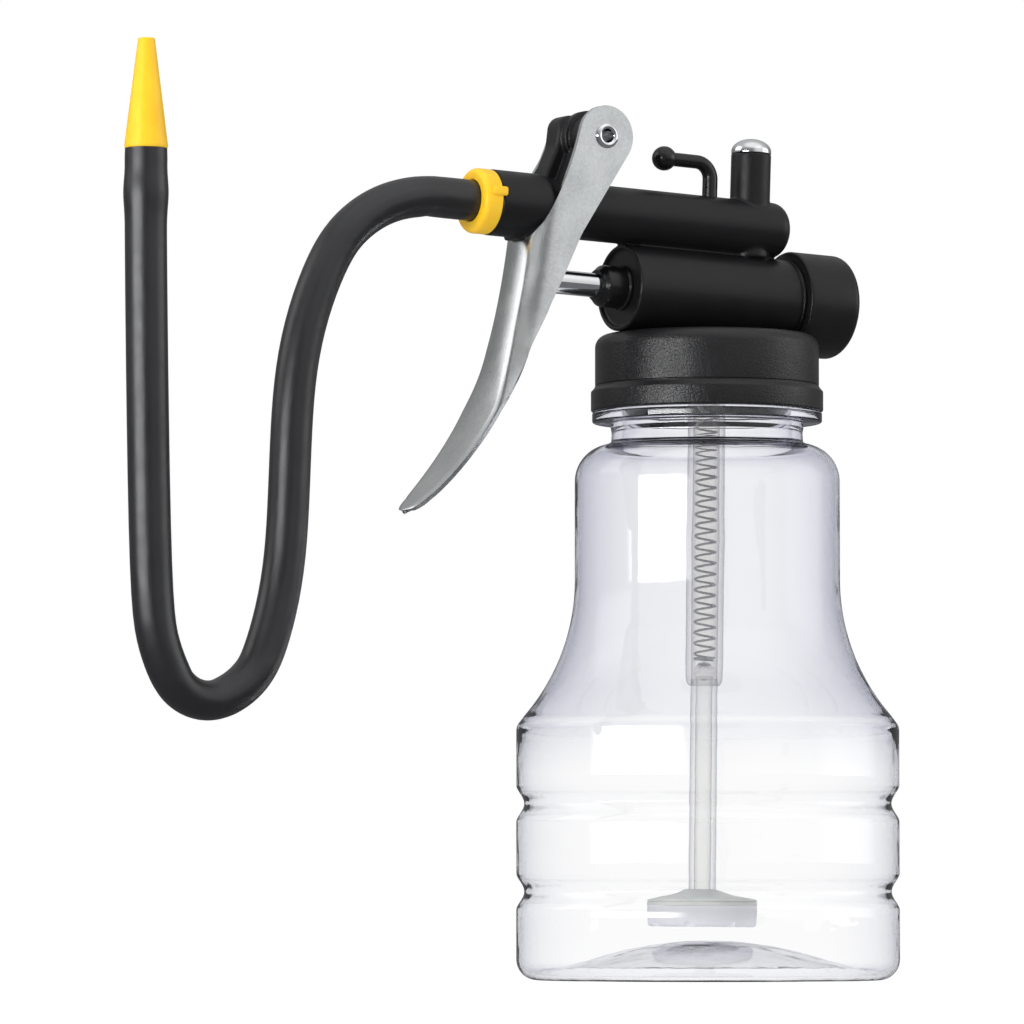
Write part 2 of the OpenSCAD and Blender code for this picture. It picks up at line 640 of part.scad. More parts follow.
module nozzle() {
  base = nozzle_base;
  bore = 1.7;
  tip_bore = 1.25;
  color(yellow) translate([nozzle_x, 0, 0]) difference() {
    rotate_extrude() polygon(concat(
      [[0, base - 14], [2.2, base - 14], [barb_r, base - 13.2], [barb_r, base - 10],
       [2.45, base - 10], [barb_r, base - 6.5], [barb_r, base],
       [4.9, base], [5.05, base + 0.5], [2.05, nozzle_z - 0.5]],
      arc([1.45, nozzle_z - 0.6], 0.6, 10, 90, 4), [[0, nozzle_z]]));
    translate([0, 0, base - 15]) cylinder(h = 14, r = bore);
    translate([0, 0, base - 1.01]) cylinder(h = nozzle_z - base - 8.98, r1 = bore, r2 = tip_bore);
    translate([0, 0, nozzle_z - 10]) cylinder(h = 12, r = tip_bore);
  }
}

bottle();
lid();
lid_gasket();
pump_body();
lid_nut();
nut_gasket();
vent_valve();
rear_cap();
rear_cap_seal();
gland_nut();
rod_seal();
piston_rod();
piston();
piston_seal();
piston_nut();
return_spring();
lever();
pivot_rivet();
pivot_washers();
outlet_ball();
outlet_spring();
valve_plug();
plug_seal();
hose_hook();
suction_sleeve();
suction_spring();
suction_ball();
suction_tube();
strainer_cap();
strainer_cup();
strainer_mesh();
hose_barb();
barb_seal();
hose();
hose_collar();
nozzle();
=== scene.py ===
# A clear bottle with a hand pump in its lid: pump head with lever, piston rod and hook,
# a dip tube with strainer inside, and a hose that ends in an upright nozzle.
# The bottle's axis is Z and it stands on z = 0. The lever and the hose are on the -X side,
# the rear screw cap is on the +X side, and the camera looks from -X and -Y: "near" is -Y.
# Lengths are in mm and become metres in mesh_object(); shaders, lights and camera use metres.
import bpy
import bmesh
import json
import math
import numpy as np
from mathutils import Vector
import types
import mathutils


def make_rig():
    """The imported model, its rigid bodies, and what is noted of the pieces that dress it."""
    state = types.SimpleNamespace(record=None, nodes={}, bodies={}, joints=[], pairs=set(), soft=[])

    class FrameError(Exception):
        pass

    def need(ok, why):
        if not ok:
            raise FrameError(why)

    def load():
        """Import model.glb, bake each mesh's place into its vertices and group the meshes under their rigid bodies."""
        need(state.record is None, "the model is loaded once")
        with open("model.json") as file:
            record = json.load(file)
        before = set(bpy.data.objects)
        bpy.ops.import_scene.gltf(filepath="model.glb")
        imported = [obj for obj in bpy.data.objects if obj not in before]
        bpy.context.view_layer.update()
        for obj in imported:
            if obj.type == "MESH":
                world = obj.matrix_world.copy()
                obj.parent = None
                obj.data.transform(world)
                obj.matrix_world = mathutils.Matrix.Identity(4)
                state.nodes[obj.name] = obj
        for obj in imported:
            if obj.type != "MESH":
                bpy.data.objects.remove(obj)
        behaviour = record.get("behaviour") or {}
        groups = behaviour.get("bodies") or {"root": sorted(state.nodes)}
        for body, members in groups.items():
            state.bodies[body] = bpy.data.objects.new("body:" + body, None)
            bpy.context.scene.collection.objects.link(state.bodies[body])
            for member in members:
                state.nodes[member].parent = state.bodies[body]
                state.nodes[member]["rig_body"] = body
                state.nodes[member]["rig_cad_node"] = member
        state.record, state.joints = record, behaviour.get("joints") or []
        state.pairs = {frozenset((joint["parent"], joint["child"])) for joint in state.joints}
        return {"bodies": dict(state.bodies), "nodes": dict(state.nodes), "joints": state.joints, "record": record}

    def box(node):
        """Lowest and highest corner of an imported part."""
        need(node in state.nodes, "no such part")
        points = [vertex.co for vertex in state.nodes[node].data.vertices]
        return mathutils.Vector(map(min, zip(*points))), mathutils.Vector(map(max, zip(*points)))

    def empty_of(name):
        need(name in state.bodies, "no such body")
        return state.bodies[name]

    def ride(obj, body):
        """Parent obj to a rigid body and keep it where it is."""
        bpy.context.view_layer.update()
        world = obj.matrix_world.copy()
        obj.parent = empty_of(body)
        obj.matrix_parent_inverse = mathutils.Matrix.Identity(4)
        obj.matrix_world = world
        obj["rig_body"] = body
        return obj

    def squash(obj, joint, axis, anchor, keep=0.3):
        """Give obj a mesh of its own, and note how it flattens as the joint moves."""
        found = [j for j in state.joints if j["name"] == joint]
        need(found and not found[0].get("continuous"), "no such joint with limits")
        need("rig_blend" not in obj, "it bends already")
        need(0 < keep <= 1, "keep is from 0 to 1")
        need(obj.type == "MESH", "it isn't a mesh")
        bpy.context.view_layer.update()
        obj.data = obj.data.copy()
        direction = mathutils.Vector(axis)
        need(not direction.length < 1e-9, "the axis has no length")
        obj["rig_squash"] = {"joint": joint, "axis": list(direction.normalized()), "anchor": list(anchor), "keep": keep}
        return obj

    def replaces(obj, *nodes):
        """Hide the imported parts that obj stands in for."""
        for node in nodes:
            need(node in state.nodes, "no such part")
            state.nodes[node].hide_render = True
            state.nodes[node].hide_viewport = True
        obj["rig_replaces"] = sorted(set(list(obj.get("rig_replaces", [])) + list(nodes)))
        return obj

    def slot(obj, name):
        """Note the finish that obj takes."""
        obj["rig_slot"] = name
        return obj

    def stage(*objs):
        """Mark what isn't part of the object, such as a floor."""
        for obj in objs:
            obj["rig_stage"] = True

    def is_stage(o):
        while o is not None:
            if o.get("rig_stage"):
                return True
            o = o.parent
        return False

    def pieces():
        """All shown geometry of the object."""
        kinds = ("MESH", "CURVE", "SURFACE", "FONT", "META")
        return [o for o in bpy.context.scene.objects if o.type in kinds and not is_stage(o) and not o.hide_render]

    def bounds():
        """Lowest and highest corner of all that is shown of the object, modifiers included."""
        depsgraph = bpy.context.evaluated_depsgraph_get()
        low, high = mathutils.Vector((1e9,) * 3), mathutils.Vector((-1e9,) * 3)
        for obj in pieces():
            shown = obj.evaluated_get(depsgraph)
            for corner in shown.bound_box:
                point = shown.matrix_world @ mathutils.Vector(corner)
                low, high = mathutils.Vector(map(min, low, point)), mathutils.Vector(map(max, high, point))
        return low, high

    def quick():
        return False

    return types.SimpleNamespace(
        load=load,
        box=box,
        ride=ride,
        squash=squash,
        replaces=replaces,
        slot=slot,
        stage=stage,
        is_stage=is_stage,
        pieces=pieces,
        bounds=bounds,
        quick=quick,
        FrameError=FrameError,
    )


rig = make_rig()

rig.load_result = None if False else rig.load()
CAD_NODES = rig.load_result["nodes"]
CAD_BOX = [list(corner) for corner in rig.bounds()]
MM = 0.001
rad = math.radians


# ------------------------------------------------------------------ frames
def rot_y(angle):
    c, s = math.cos(angle), math.sin(angle)
    matrix = np.eye(4)
    matrix[0, 0], matrix[0, 2], matrix[2, 0], matrix[2, 2] = c, s, -s, c
    return matrix


def shift(x, y, z):
    matrix = np.eye(4)
    matrix[:3, 3] = (x, y, z)
    return matrix


def transform(matrix, points):
    return np.asarray(points, float) @ matrix[:3, :3].T + matrix[:3, 3]


HEAD_TILT, HEAD_Z = 2.0, 164.7          # the pump head leans; its barrel's axis is this frame's X
SUCTION_LEAN, SUCTION_Z = 0.75, 145     # the dip tube leans about this height
TUBE_H = 17.35                          # upper tube's axis above the barrel's
VALVE_X = 11.55                         # upright valve post
PIVOT_X, PIVOT_Z = -34.94, 34.8         # lever pivot, in the head's frame

HEAD = shift(0, 0, HEAD_Z) @ rot_y(rad(HEAD_TILT))
SUCTION = shift(0, 0, SUCTION_Z) @ rot_y(rad(SUCTION_LEAN)) @ shift(0, 0, -SUCTION_Z)
TUBE = HEAD @ shift(0, 0, TUBE_H)
VALVE = HEAD @ shift(VALVE_X, 0, 0)
Z_TO_X = np.array([[0, 0, 1, 0], [0, 1, 0, 0], [-1, 0, 0, 0], [0, 0, 0, 1]], float)
Z_TO_MINUS_Y = np.array([[1, 0, 0, 0], [0, 0, -1, 0], [0, 1, 0, 0], [0, 0, 0, 1]], float)
pivot_x, pivot_z = transform(HEAD, (PIVOT_X, 0, PIVOT_Z))[[0, 2]]
PIVOT = shift(pivot_x, 0, pivot_z) @ Z_TO_MINUS_Y


# ------------------------------------------------------------------ mesh helpers
def link_object(name, data):
    obj = bpy.data.objects.new(name, data)
    bpy.context.scene.collection.objects.link(obj)
    return obj


def shade_smooth(mesh, sharp):
    """Smooth shading, with edges above the angle `sharp` (degrees) kept sharp."""
    mesh.polygons.foreach_set("use_smooth", [True] * len(mesh.polygons))
    if sharp is not None:
        mesh.set_sharp_from_angle(angle=rad(sharp))
    mesh.update()


def mesh_object(name, verts, faces, material=None, frame=None, sharp=None, recalc=True):
    points = np.asarray(verts, float)
    if frame is not None:
        points = transform(frame, points)
    mesh = bpy.data.meshes.new(name)
    mesh.from_pydata([tuple(p) for p in points * MM], [],
                     [tuple(int(i) for i in face) for face in faces])
    mesh.validate()
    if recalc:
        bm = bmesh.new()
        bm.from_mesh(mesh)
        bmesh.ops.remove_doubles(bm, verts=bm.verts, dist=1e-7)
        bmesh.ops.recalc_face_normals(bm, faces=bm.faces)
        bm.to_mesh(mesh)
        bm.free()
    shade_smooth(mesh, sharp)
    obj = link_object(name, mesh)
    if material:
        mesh.materials.append(material)
    return obj


def place(obj, body, slot, replaced):
    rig.ride(obj, body)
    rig.slot(obj, slot)
    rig.replaces(obj, replaced)


def fillet(points, closed=False):
    """A polyline with rounded corners: each point is (a, b) or (a, b, radius)."""
    rounded, count = [], len(points)
    for i, (a, b, *radius) in enumerate(points):
        if not radius or (not closed and i in (0, count - 1)):
            rounded.append((a, b))
            continue
        before, corner, after = (np.array(points[j % count][:2], float) for j in (i - 1, i, i + 1))
        back, ahead = before - corner, after - corner
        back_len, ahead_len = np.linalg.norm(back), np.linalg.norm(ahead)
        back, ahead = back / back_len, ahead / ahead_len
        angle = math.acos(max(-1, min(1, float(back @ ahead))))
        if angle > math.pi - 0.02:      # nearly straight
            rounded.append((a, b))
            continue
        trim = min(radius[0] / math.tan(angle / 2), back_len * 0.49, ahead_len * 0.49)
        fitted = trim * math.tan(angle / 2)
        middle = (back + ahead) / np.linalg.norm(back + ahead)
        centre = corner + middle * (fitted / math.sin(angle / 2))
        start, end = corner + back * trim - centre, corner + ahead * trim - centre
        turn = math.pi - angle
        steps = max(2, int(math.ceil(turn / rad(11))))
        sign = 1 if start[0] * end[1] - start[1] * end[0] > 0 else -1
        for j in range(steps + 1):
            c, s = math.cos(sign * turn * j / steps), math.sin(sign * turn * j / steps)
            spoke = np.array([start[0] * c - start[1] * s, start[0] * s + start[1] * c])
            rounded.append(tuple(centre + spoke))
    return rounded


def arc(centre_x, centre_z, radius, start, end, steps):
    angles = [rad(start + (end - start) * i / steps) for i in range(steps + 1)]
    return [(centre_x + radius * math.cos(a), centre_z + radius * math.sin(a)) for a in angles]


def ball_profile(radius, z=0):
    return [(radius * math.sin(rad(a)), z + radius * math.cos(rad(a))) for a in range(0, 181, 6)]


def lathe(name, profile, material, frame=None, segments=128, closed=False, sharp=38):
    """Turns (radius, z) points round Z."""
    verts, rings, faces = [], [], []
    angles = np.linspace(0, 2 * math.pi, segments, endpoint=False)
    for radius, z in profile:
        if radius < 1e-6:
            rings.append([len(verts)])
            verts.append((0, 0, z))
        else:
            rings.append(list(range(len(verts), len(verts) + segments)))
            verts += [(radius * math.cos(a), radius * math.sin(a), z) for a in angles]
    pairs = list(zip(rings[:-1], rings[1:])) + ([(rings[-1], rings[0])] if closed else [])
    for a, b in pairs:
        for j in range(segments):
            k = (j + 1) % segments
            if len(a) == 1:
                faces.append((a[0], b[j], b[k]))
            elif len(b) == 1:
                faces.append((a[j], b[0], a[k]))
            else:
                faces.append((a[j], b[j], b[k], a[k]))
    return mesh_object(name, verts, faces, material, frame, sharp)


def lathe_x(name, profile, material, frame, segments=128, closed=False, sharp=38):
    """Turns (x, radius) points round the frame's X axis."""
    turned = [(radius, x) for x, radius in profile]
    return lathe(name, turned, material, frame @ Z_TO_X, segments, closed, sharp)


def sweep(path, side, up, section, scale=None):
    """Capped tube data: a flat section carried along a path on two directions per station."""
    path, side, up = (np.asarray(rows, float) for rows in (path, side, up))
    section = np.asarray(section, float)
    m, stations = len(section), len(path)
    verts, faces = [], []
    for i in range(stations):
        k = 1 if scale is None else scale[i]
        verts.append(path[i] + np.outer(section[:, 0] * k, side[i])
                     + np.outer(section[:, 1] * k, up[i]))
    for i in range(stations - 1):
        for j in range(m):
            a, b = i * m + j, i * m + (j + 1) % m
            faces.append((a, b, b + m, a + m))
    faces.append(tuple(range(m - 1, -1, -1)))
    faces.append(tuple((stations - 1) * m + j for j in range(m)))
    return np.vstack(verts), faces


def circle(radius, count):
    angles = [2 * math.pi * i / count for i in range(count)]
    return [(radius * math.cos(a), radius * math.sin(a)) for a in angles]


def cylinder(radius, start, end, frame, segments=96):
    """A plain solid along the frame's Z, for cutting."""
    profile = [(0, start), (radius, start), (radius, end), (0, end)]
    return lathe("cutter", profile, None, frame, segments)


def thread(radius, section, start_z, start_angle, pitch=4.0, turns=1.5, segments=64):
    """A helical ridge round Z for a union; the section is (outward, up)."""
    path, side = [], []
    for i in range(int(turns * segments) + 1):
        a = rad(start_angle + 360 * i / segments)
        path.append((radius * math.cos(a), radius * math.sin(a), start_z + pitch * i / segments))
        side.append((math.cos(a), math.sin(a), 0))
    return mesh_object("thread", *sweep(path, side, [(0, 0, 1)] * len(path), section))


def evaluated_mesh(obj):
    """The mesh with its modifiers applied; the modifiers are taken off the object."""
    depsgraph = bpy.context.evaluated_depsgraph_get()
    mesh = bpy.data.meshes.new_from_object(obj.evaluated_get(depsgraph))
    obj.modifiers.clear()
    return mesh


def boolean(obj, cutter, sharp, operation="DIFFERENCE", solvers=("MANIFOLD", "EXACT")):
    """Takes the first solver that gives a result; the cutter is used up."""
    materials = list(obj.data.materials)
    for solver in solvers:
        modifier = obj.modifiers.new("boolean", "BOOLEAN")
        modifier.object, modifier.operation = cutter, operation
        try:
            modifier.solver = solver
        except TypeError:       # guards against a Blender build that lacks this solver
            obj.modifiers.remove(modifier)
            continue
        mesh = evaluated_mesh(obj)
        if len(mesh.polygons) > 0:
            obj.data = mesh
            break
    bpy.data.objects.remove(cutter)
    mesh = obj.data
    mesh.materials.clear()
    for material in materials:
        mesh.materials.append(material)
    mesh.polygons.foreach_set("material_index", [0] * len(mesh.polygons))
    shade_smooth(mesh, sharp)


def spring(name, replaced, joint, material, frame, radius, wire, start, end, turns, travel,
           anchor, segments=32):
    """A coil along the frame's Z with closed end turns, squashed towards `anchor` by a joint."""
    t = np.linspace(0, 1, int(turns * segments) + 1)
    end_part, end_pitch = 1.1 / turns, 2 * wire * 1.03
    length = end - start - 2 * wire
    open_part = (t - end_part) / (1 - 2 * end_part) * (length - 2.2 * end_pitch)
    z = np.where(t < end_part, end_pitch * t * turns,
                 np.where(t > 1 - end_part, length - end_pitch * (1 - t) * turns,
                          end_pitch * 1.1 + open_part))
    a = 2 * math.pi * turns * t
    path = np.c_[radius * np.cos(a), radius * np.sin(a), start + wire + z]
    tangent = np.gradient(path, axis=0)
    tangent /= np.linalg.norm(tangent, axis=1)[:, None]
    side = np.c_[np.cos(a), np.sin(a), 0 * a]
    verts, faces = sweep(path, side, np.cross(tangent, side), circle(wire, 10))
    obj = mesh_object(name, verts, faces, material, frame)
    place(obj, "head", "chrome_steel", replaced)
    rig.squash(obj, joint, axis=tuple(frame[:3, 2]),
              anchor=tuple(transform(frame, (0, 0, anchor)) * MM),
              keep=1 - travel / (end - start))


# ------------------------------------------------------------------ shader trees
class ShaderTree:
    """Builds a node tree; an input given a socket is linked, one given None is left alone."""

    def __init__(self, owner, output="OutputMaterial"):
        owner.use_nodes = True
        self.owner, self.tree = owner, owner.node_tree
        self.tree.nodes.clear()
        self.output = self.node(output)

    def node(self, kind, inputs=None, **settings):
        new = self.tree.nodes.new("ShaderNode" + kind)
        for key, value in settings.items():
            setattr(new, key, value)
        for key, value in (inputs or {}).items():
            if isinstance(value, bpy.types.NodeSocket):
                self.tree.links.new(value, new.inputs[key])
            elif value is not None:
                new.inputs[key].default_value = value
        return new

    def shader(self, kind, **inputs):
        """A shader node's output; underscores stand for spaces in the input names."""
        named = {key.replace("_", " "): value for key, value in inputs.items()}
        return self.node(kind, named).outputs[0]

    def surface(self, shader):
        self.tree.links.new(shader, self.output.inputs["Surface"])
        return self.owner

    def principled(self, **inputs):
        return self.surface(self.shader("BsdfPrincipled", **inputs))

    def position(self):
        return self.node("TexCoord").outputs["Object"]

    def facing(self):
        return self.node("LayerWeight", {"Blend": 0.5}).outputs["Facing"]

    def noise(self, scale, detail=3, rough=0.55):
        inputs = {"Scale": scale, "Detail": detail, "Roughness": rough, "Vector": self.position()}
        return self.node("TexNoise", inputs).outputs["Fac"]

    def math(self, operation, a, b=None):
        return self.node("Math", {0: a, 1: b}, operation=operation).outputs[0]

    def ramp(self, factor, stops):
        """Stops are (position, colour)."""
        ramp = self.node("ValToRGB", {"Fac": factor})
        elements = ramp.color_ramp.elements
        while len(elements) > 1:
            elements.remove(elements[-1])
        elements[0].position, elements[0].color = stops[0][0], (*stops[0][1], 1)
        for position, color in stops[1:]:
            elements.new(position).color = (*color, 1)
        return ramp.outputs["Color"]

    def map_range(self, value, target, source=(0.3, 0.7), interpolation="LINEAR"):
        inputs = {"From Min": source[0], "From Max": source[1],
                  "To Min": target[0], "To Max": target[1], "Value": value}
        node = self.node("MapRange", inputs, interpolation_type=interpolation)
        return node.outputs["Result"]

    def bump(self, height, strength, distance, normal=None):
        inputs = {"Strength": strength, "Distance": distance, "Height": height, "Normal": normal}
        return self.node("Bump", inputs).outputs["Normal"]

    def mix_color(self, factor, a, b):
        inputs = {"Factor": factor, 6: a, 7: b}
        return self.node("Mix", inputs, data_type="RGBA").outputs[2]

    def edge_on_shade(self, facing, face, edge, power):
        """One colour seen square on, another seen edge on: painted shade that darkens see-through walls edge on."""
        return self.mix_color(self.math("POWER", facing, power), (*face, 1), (*edge, 1))

    def mix_shader(self, factor, a, b):
        return self.node("MixShader", {0: factor, 1: a, 2: b}).outputs[0]


def material_tree(name):
    return ShaderTree(bpy.data.materials.new(name))


# ------------------------------------------------------------------ materials
def black_plastic(name, base=0.0065, rough=(0.34, 0.44), leather=0.0, specular=0.30):
    """Near-black plastic with a fine grain; `leather` is the strength of a cell pattern."""
    t = material_tree(name)
    color = t.ramp(t.noise(scale=60, detail=2), [(0.3, (base * 0.85, base * 0.85, base * 0.95)),
                                                 (0.7, (base * 1.2, base * 1.2, base * 1.32))])
    fine = t.noise(scale=1400, detail=4, rough=0.65)
    normal = t.bump(fine, strength=0.25, distance=0.00006)
    if leather:
        wobble = t.node("TexNoise", {"Scale": 500, "Vector": t.position()}).outputs["Color"]
        small = t.node("VectorMath", {0: wobble, "Scale": 0.0012}, operation="SCALE").outputs[0]
        warped = t.node("VectorMath", {0: t.position(), 1: small}, operation="ADD").outputs[0]
        cells = t.node("TexVoronoi", {"Scale": 1100, "Vector": warped}, feature="DISTANCE_TO_EDGE")
        raised = t.map_range(cells.outputs["Distance"], source=(0.0, 0.22), target=(0.0, 1.0))
        normal = t.bump(raised, strength=leather, distance=0.00007, normal=normal)
    return t.principled(Base_Color=color, Roughness=t.map_range(t.noise(scale=260), rough),
                        Specular_IOR_Level=specular, Normal=normal)


def hose_rubber():
    t = material_tree("hose_rubber")
    color = t.ramp(t.noise(scale=45), [(0.3, (0.008, 0.008, 0.009)), (0.7, (0.012, 0.012, 0.0135))])
    normal = t.bump(t.noise(scale=1800, detail=4, rough=0.7), strength=0.22, distance=0.00005)
    normal = t.bump(t.noise(scale=120, detail=2), strength=0.35, distance=0.0004, normal=normal)
    return t.principled(Base_Color=color, Roughness=t.map_range(t.noise(scale=300), (0.30, 0.38)),
                        Specular_IOR_Level=0.55, Normal=normal)


def yellow_plastic():
    t = material_tree("yellow_plastic")
    color = t.ramp(t.noise(scale=140), [(0.25, (0.80, 0.455, 0.011)), (0.75, (0.86, 0.52, 0.016))])
    normal = t.bump(t.noise(scale=900), strength=0.12, distance=0.00005)
    return t.principled(Base_Color=color, Roughness=0.36, Specular_IOR_Level=0.5,
                        Subsurface_Weight=0.18, Subsurface_Scale=0.002, Normal=normal)


def zinc_sheet():
    t = material_tree("zinc_sheet")
    grain = t.noise(scale=1700, detail=4, rough=0.7)
    cloud = t.noise(scale=90)
    both = t.math("ADD", t.math("MULTIPLY", grain, 0.5), t.math("MULTIPLY", cloud, 0.5))
    color = t.ramp(both, [(0.35, (0.55, 0.575, 0.585)), (0.5, (0.66, 0.68, 0.675)),
                          (0.65, (0.75, 0.765, 0.76))])
    return t.principled(Base_Color=color, Metallic=1.0, Roughness=t.map_range(cloud, (0.19, 0.26)),
                        Normal=t.bump(grain, strength=0.3, distance=0.00004))


def metal(name, base, rough, grain=0.05):
    t = material_tree(name)
    normal = t.bump(t.noise(scale=900), strength=grain, distance=0.00005)
    color = t.ramp(t.noise(scale=200), [(0.3, tuple(c * 0.93 for c in base)), (0.7, base)])
    roughness = t.map_range(t.noise(scale=400, detail=2), (rough * 0.8, rough * 1.3))
    return t.principled(Base_Color=color, Metallic=1.0, Roughness=roughness, Normal=normal)


def plain(name, base, rough, subsurface=0.0, amount=0.08):
    """One colour, made darker and lighter by `amount` in soft patches."""
    t = material_tree(name)
    color = t.ramp(t.noise(scale=150), [(0.3, tuple(c * (1 - amount) for c in base)),
                                        (0.7, tuple(min(1, c * (1 + amount)) for c in base))])
    normal = t.bump(t.noise(scale=1200), strength=0.15, distance=0.00005)
    return t.principled(Base_Color=color, Roughness=rough, Specular_IOR_Level=0.4,
                        Subsurface_Weight=subsurface, Subsurface_Scale=0.002, Normal=normal)


def without_shadow(t, edge_shaded_color, shader):
    """Shadow and diffuse rays pass straight through, so that the plastic casts no dark shadow."""
    clear = t.shader("BsdfTransparent", Color=edge_shaded_color)
    rays = t.node("LightPath").outputs
    passing = t.math("MAXIMUM", rays["Is Shadow Ray"], rays["Is Diffuse Ray"])
    return t.surface(t.mix_shader(passing, shader, clear))


def clear_pet():
    """Refracting bottle wall with painted shade that darkens it edge on; the painted shade is stronger above the
    shoulder.
    """
    t = material_tree("clear_pet")
    facing = t.facing()
    # Painted shade: the wall is coloured darker where it is seen edge on.
    lower = t.edge_on_shade(facing, face=(0.998, 0.998, 0.999), edge=(0.82, 0.83, 0.88), power=2.6)
    upper = t.edge_on_shade(facing, face=(0.968, 0.969, 0.978), edge=(0.66, 0.67, 0.74), power=1.6)
    # Painted shade: above the shoulder the wall is coloured darker still, fading in between z 0.050 and 0.070 m.
    height = t.node("SeparateXYZ", {0: t.position()}).outputs["Z"]
    rise = t.map_range(height, source=(0.050, 0.070), target=(0.0, 1.0))
    edge_shaded_color = t.mix_color(rise, lower, upper)
    wave = t.bump(t.noise(scale=38), strength=0.10, distance=0.002)
    glass = t.shader("BsdfGlass", Roughness=0.0, IOR=1.45, Color=edge_shaded_color, Normal=wave)
    return without_shadow(t, edge_shaded_color, glass)


def milky_plastic():
    """Frosted glass mixed with a white haze."""
    t = material_tree("milky_cup")
    # Painted shade: the cup's wall is coloured darker where it is seen edge on.
    edge_shaded_color = t.edge_on_shade(t.facing(), face=(0.93, 0.93, 0.96), edge=(0.75, 0.75, 0.82), power=2.2)
    glass = t.shader("BsdfGlass", Roughness=0.35, IOR=1.2, Color=edge_shaded_color)
    through = t.shader("BsdfTranslucent", Color=(0.93, 0.93, 0.95, 1))
    diffuse = t.shader("BsdfDiffuse", Color=(0.9, 0.9, 0.92, 1))
    haze = t.mix_shader(0.5, through, diffuse)
    return without_shadow(t, edge_shaded_color, t.mix_shader(0.75, glass, haze))


def clear_tube(name, edge, face, white, power=1.7, gloss=0.16):
    """Thin clear wall that lets the view straight through, with painted shade darkening it towards its edges."""
    t = material_tree(name)
    facing = t.facing()
    # Painted shade: the wall is coloured darker where it is seen edge on.
    clear = t.shader("BsdfTransparent", Color=t.edge_on_shade(facing, face, edge, power))
    wave = t.bump(t.noise(scale=160, detail=2), strength=0.15, distance=0.0003)
    shine = t.shader("BsdfGlossy", Roughness=0.12, Color=(1, 1, 1, 1), Normal=wave)
    amount = t.math("MULTIPLY", t.math("ADD", t.math("POWER", facing, 3.0), 0.15), gloss)
    wall = t.mix_shader(amount, clear, shine)
    diffuse = t.shader("BsdfDiffuse", Color=(0.92, 0.92, 0.94, 1))
    return t.surface(t.mix_shader(white, wall, diffuse))


BLACK = black_plastic("black_body")
BLACK_LID = black_plastic("black_lid", leather=0.35, rough=(0.32, 0.40), specular=0.42)
BLACK_GLOSS = black_plastic("black_gloss", base=0.005, rough=(0.20, 0.30), specular=0.45)
HOSE = hose_rubber()
YELLOW = yellow_plastic()
SHEET = zinc_sheet()
CHROME = metal("chrome", base=(0.84, 0.85, 0.86), rough=0.10)
STEEL = metal("spring_steel", base=(0.55, 0.56, 0.57), rough=0.22, grain=0.1)
BRASS = metal("brass", base=(0.78, 0.57, 0.25), rough=0.25, grain=0.15)
DARK_SPRING = metal("dark_spring", base=(0.26, 0.27, 0.29), rough=0.25, grain=0.1)
PET = clear_pet()
TUBE_CLEAR = clear_tube("clear_tube", edge=(0.50, 0.51, 0.56), face=(0.955, 0.955, 0.95),
                        white=0.04)
SLEEVE_CLEAR = clear_tube("clear_sleeve", edge=(0.52, 0.53, 0.58), face=(0.95, 0.945, 0.935),
                          white=0.05)
MILKY = milky_plastic()
GREY_CAP = plain("grey_cap", base=(0.44, 0.46, 0.445), rough=0.5, subsurface=0.2)
RUBBER = black_plastic("seal_rubber", base=0.02, rough=(0.5, 0.65))
GASKET = plain("gasket_grey", base=(0.42, 0.42, 0.40), rough=0.6)
NYLON = plain("grey_nylon", base=(0.22, 0.22, 0.23), rough=0.45)

# ------------------------------------------------------------------ bottle
# Unless noted, profile tables are (radius, z[, corner radius]).
BOTTLE_R, BOTTLE_WALL = 46.0, 1.0
NECK_R = 23.0
NECK = [(24.0, 128.75), (23.1, 129.2, 0.8), (NECK_R, 131.5, 1), (23.25, 132.7, 0.6),
        (23.05, 133.9, 0.3), (27.7, 133.9, 0.5), (27.7, 136.5, 0.5), (NECK_R, 136.5, 0.3),
        (NECK_R, 149.0, 0.5), (20.5, 149.0, 0.5), (20.5, 140)]
GROOVES = (21.2, 42.3)      # heights of the two rings pressed into the wall


def groove(z, wall, half_height=4.3, depth=1.9, steps=16):
    points = []
    for i in range(-steps, steps + 1):
        u = i / steps
        inward = depth * (0.5 * (1 + math.cos(math.pi * u))) ** 0.8
        points.append((BOTTLE_R - wall - inward, z + u * half_height))
    return points


def base_dome(rise):
    """The raised middle of the base, from the axis outwards."""
    return [(i * 35.2 / 24, 8.4 + rise - 7.2 * (i / 24) ** 2) for i in range(25)]


def bottle_profile():
    def wall(r, *heights):
        return [(r, z) for z in heights]

    outside = base_dome(0) + fillet([(35.2, 1.2), (38.6, 0.15, 2), (40.2, 0.0, 1), (41, 0)])[1:-1]
    outside += arc(41, 5, 5, -88, 0, 12) + wall(BOTTLE_R, 12, 15) + groove(GROOVES[0], 0)
    outside += wall(BOTTLE_R, 28, 32, 36) + groove(GROOVES[1], 0) + wall(BOTTLE_R, 49, 54, 58)
    flare = arc(81.9, 96.1, 50, 223.3, 180, 30)[2:]
    outside += fillet([(BOTTLE_R, 56), (BOTTLE_R, 60.8, 2.6), flare[0]])[1:-1] + flare
    outside += wall(31.9, 100, 106, 112, 117) + arc(23.0, 119.8, 8.9, 0, 80, 16)
    outside += fillet(NECK)[1:-1]

    inner_r = BOTTLE_R - BOTTLE_WALL
    inside = fillet([(20.5, 145), (20.5, 138), (20.5, 131.5), (20.5, 128.6, 1.5), (23.2, 127.4)])[:-1]
    inside += arc(23.0, 119.8, 7.9, 76, 0, 14) + wall(30.9, 117, 110, 104, 99)
    inside += arc(81.9, 96.1, 51, 180, 222.6, 28) + wall(inner_r, 58.6, 54, 49)
    inside += groove(GROOVES[1], BOTTLE_WALL)[::-1] + wall(inner_r, 36, 32, 28)
    inside += groove(GROOVES[0], BOTTLE_WALL)[::-1] + wall(inner_r, 15, 12)
    inside += arc(41, 5, 4, 0, -85, 10) + [(39.2, 1.15), (37.4, 1.55)] + base_dome(1.0)[::-1]
    return outside + inside


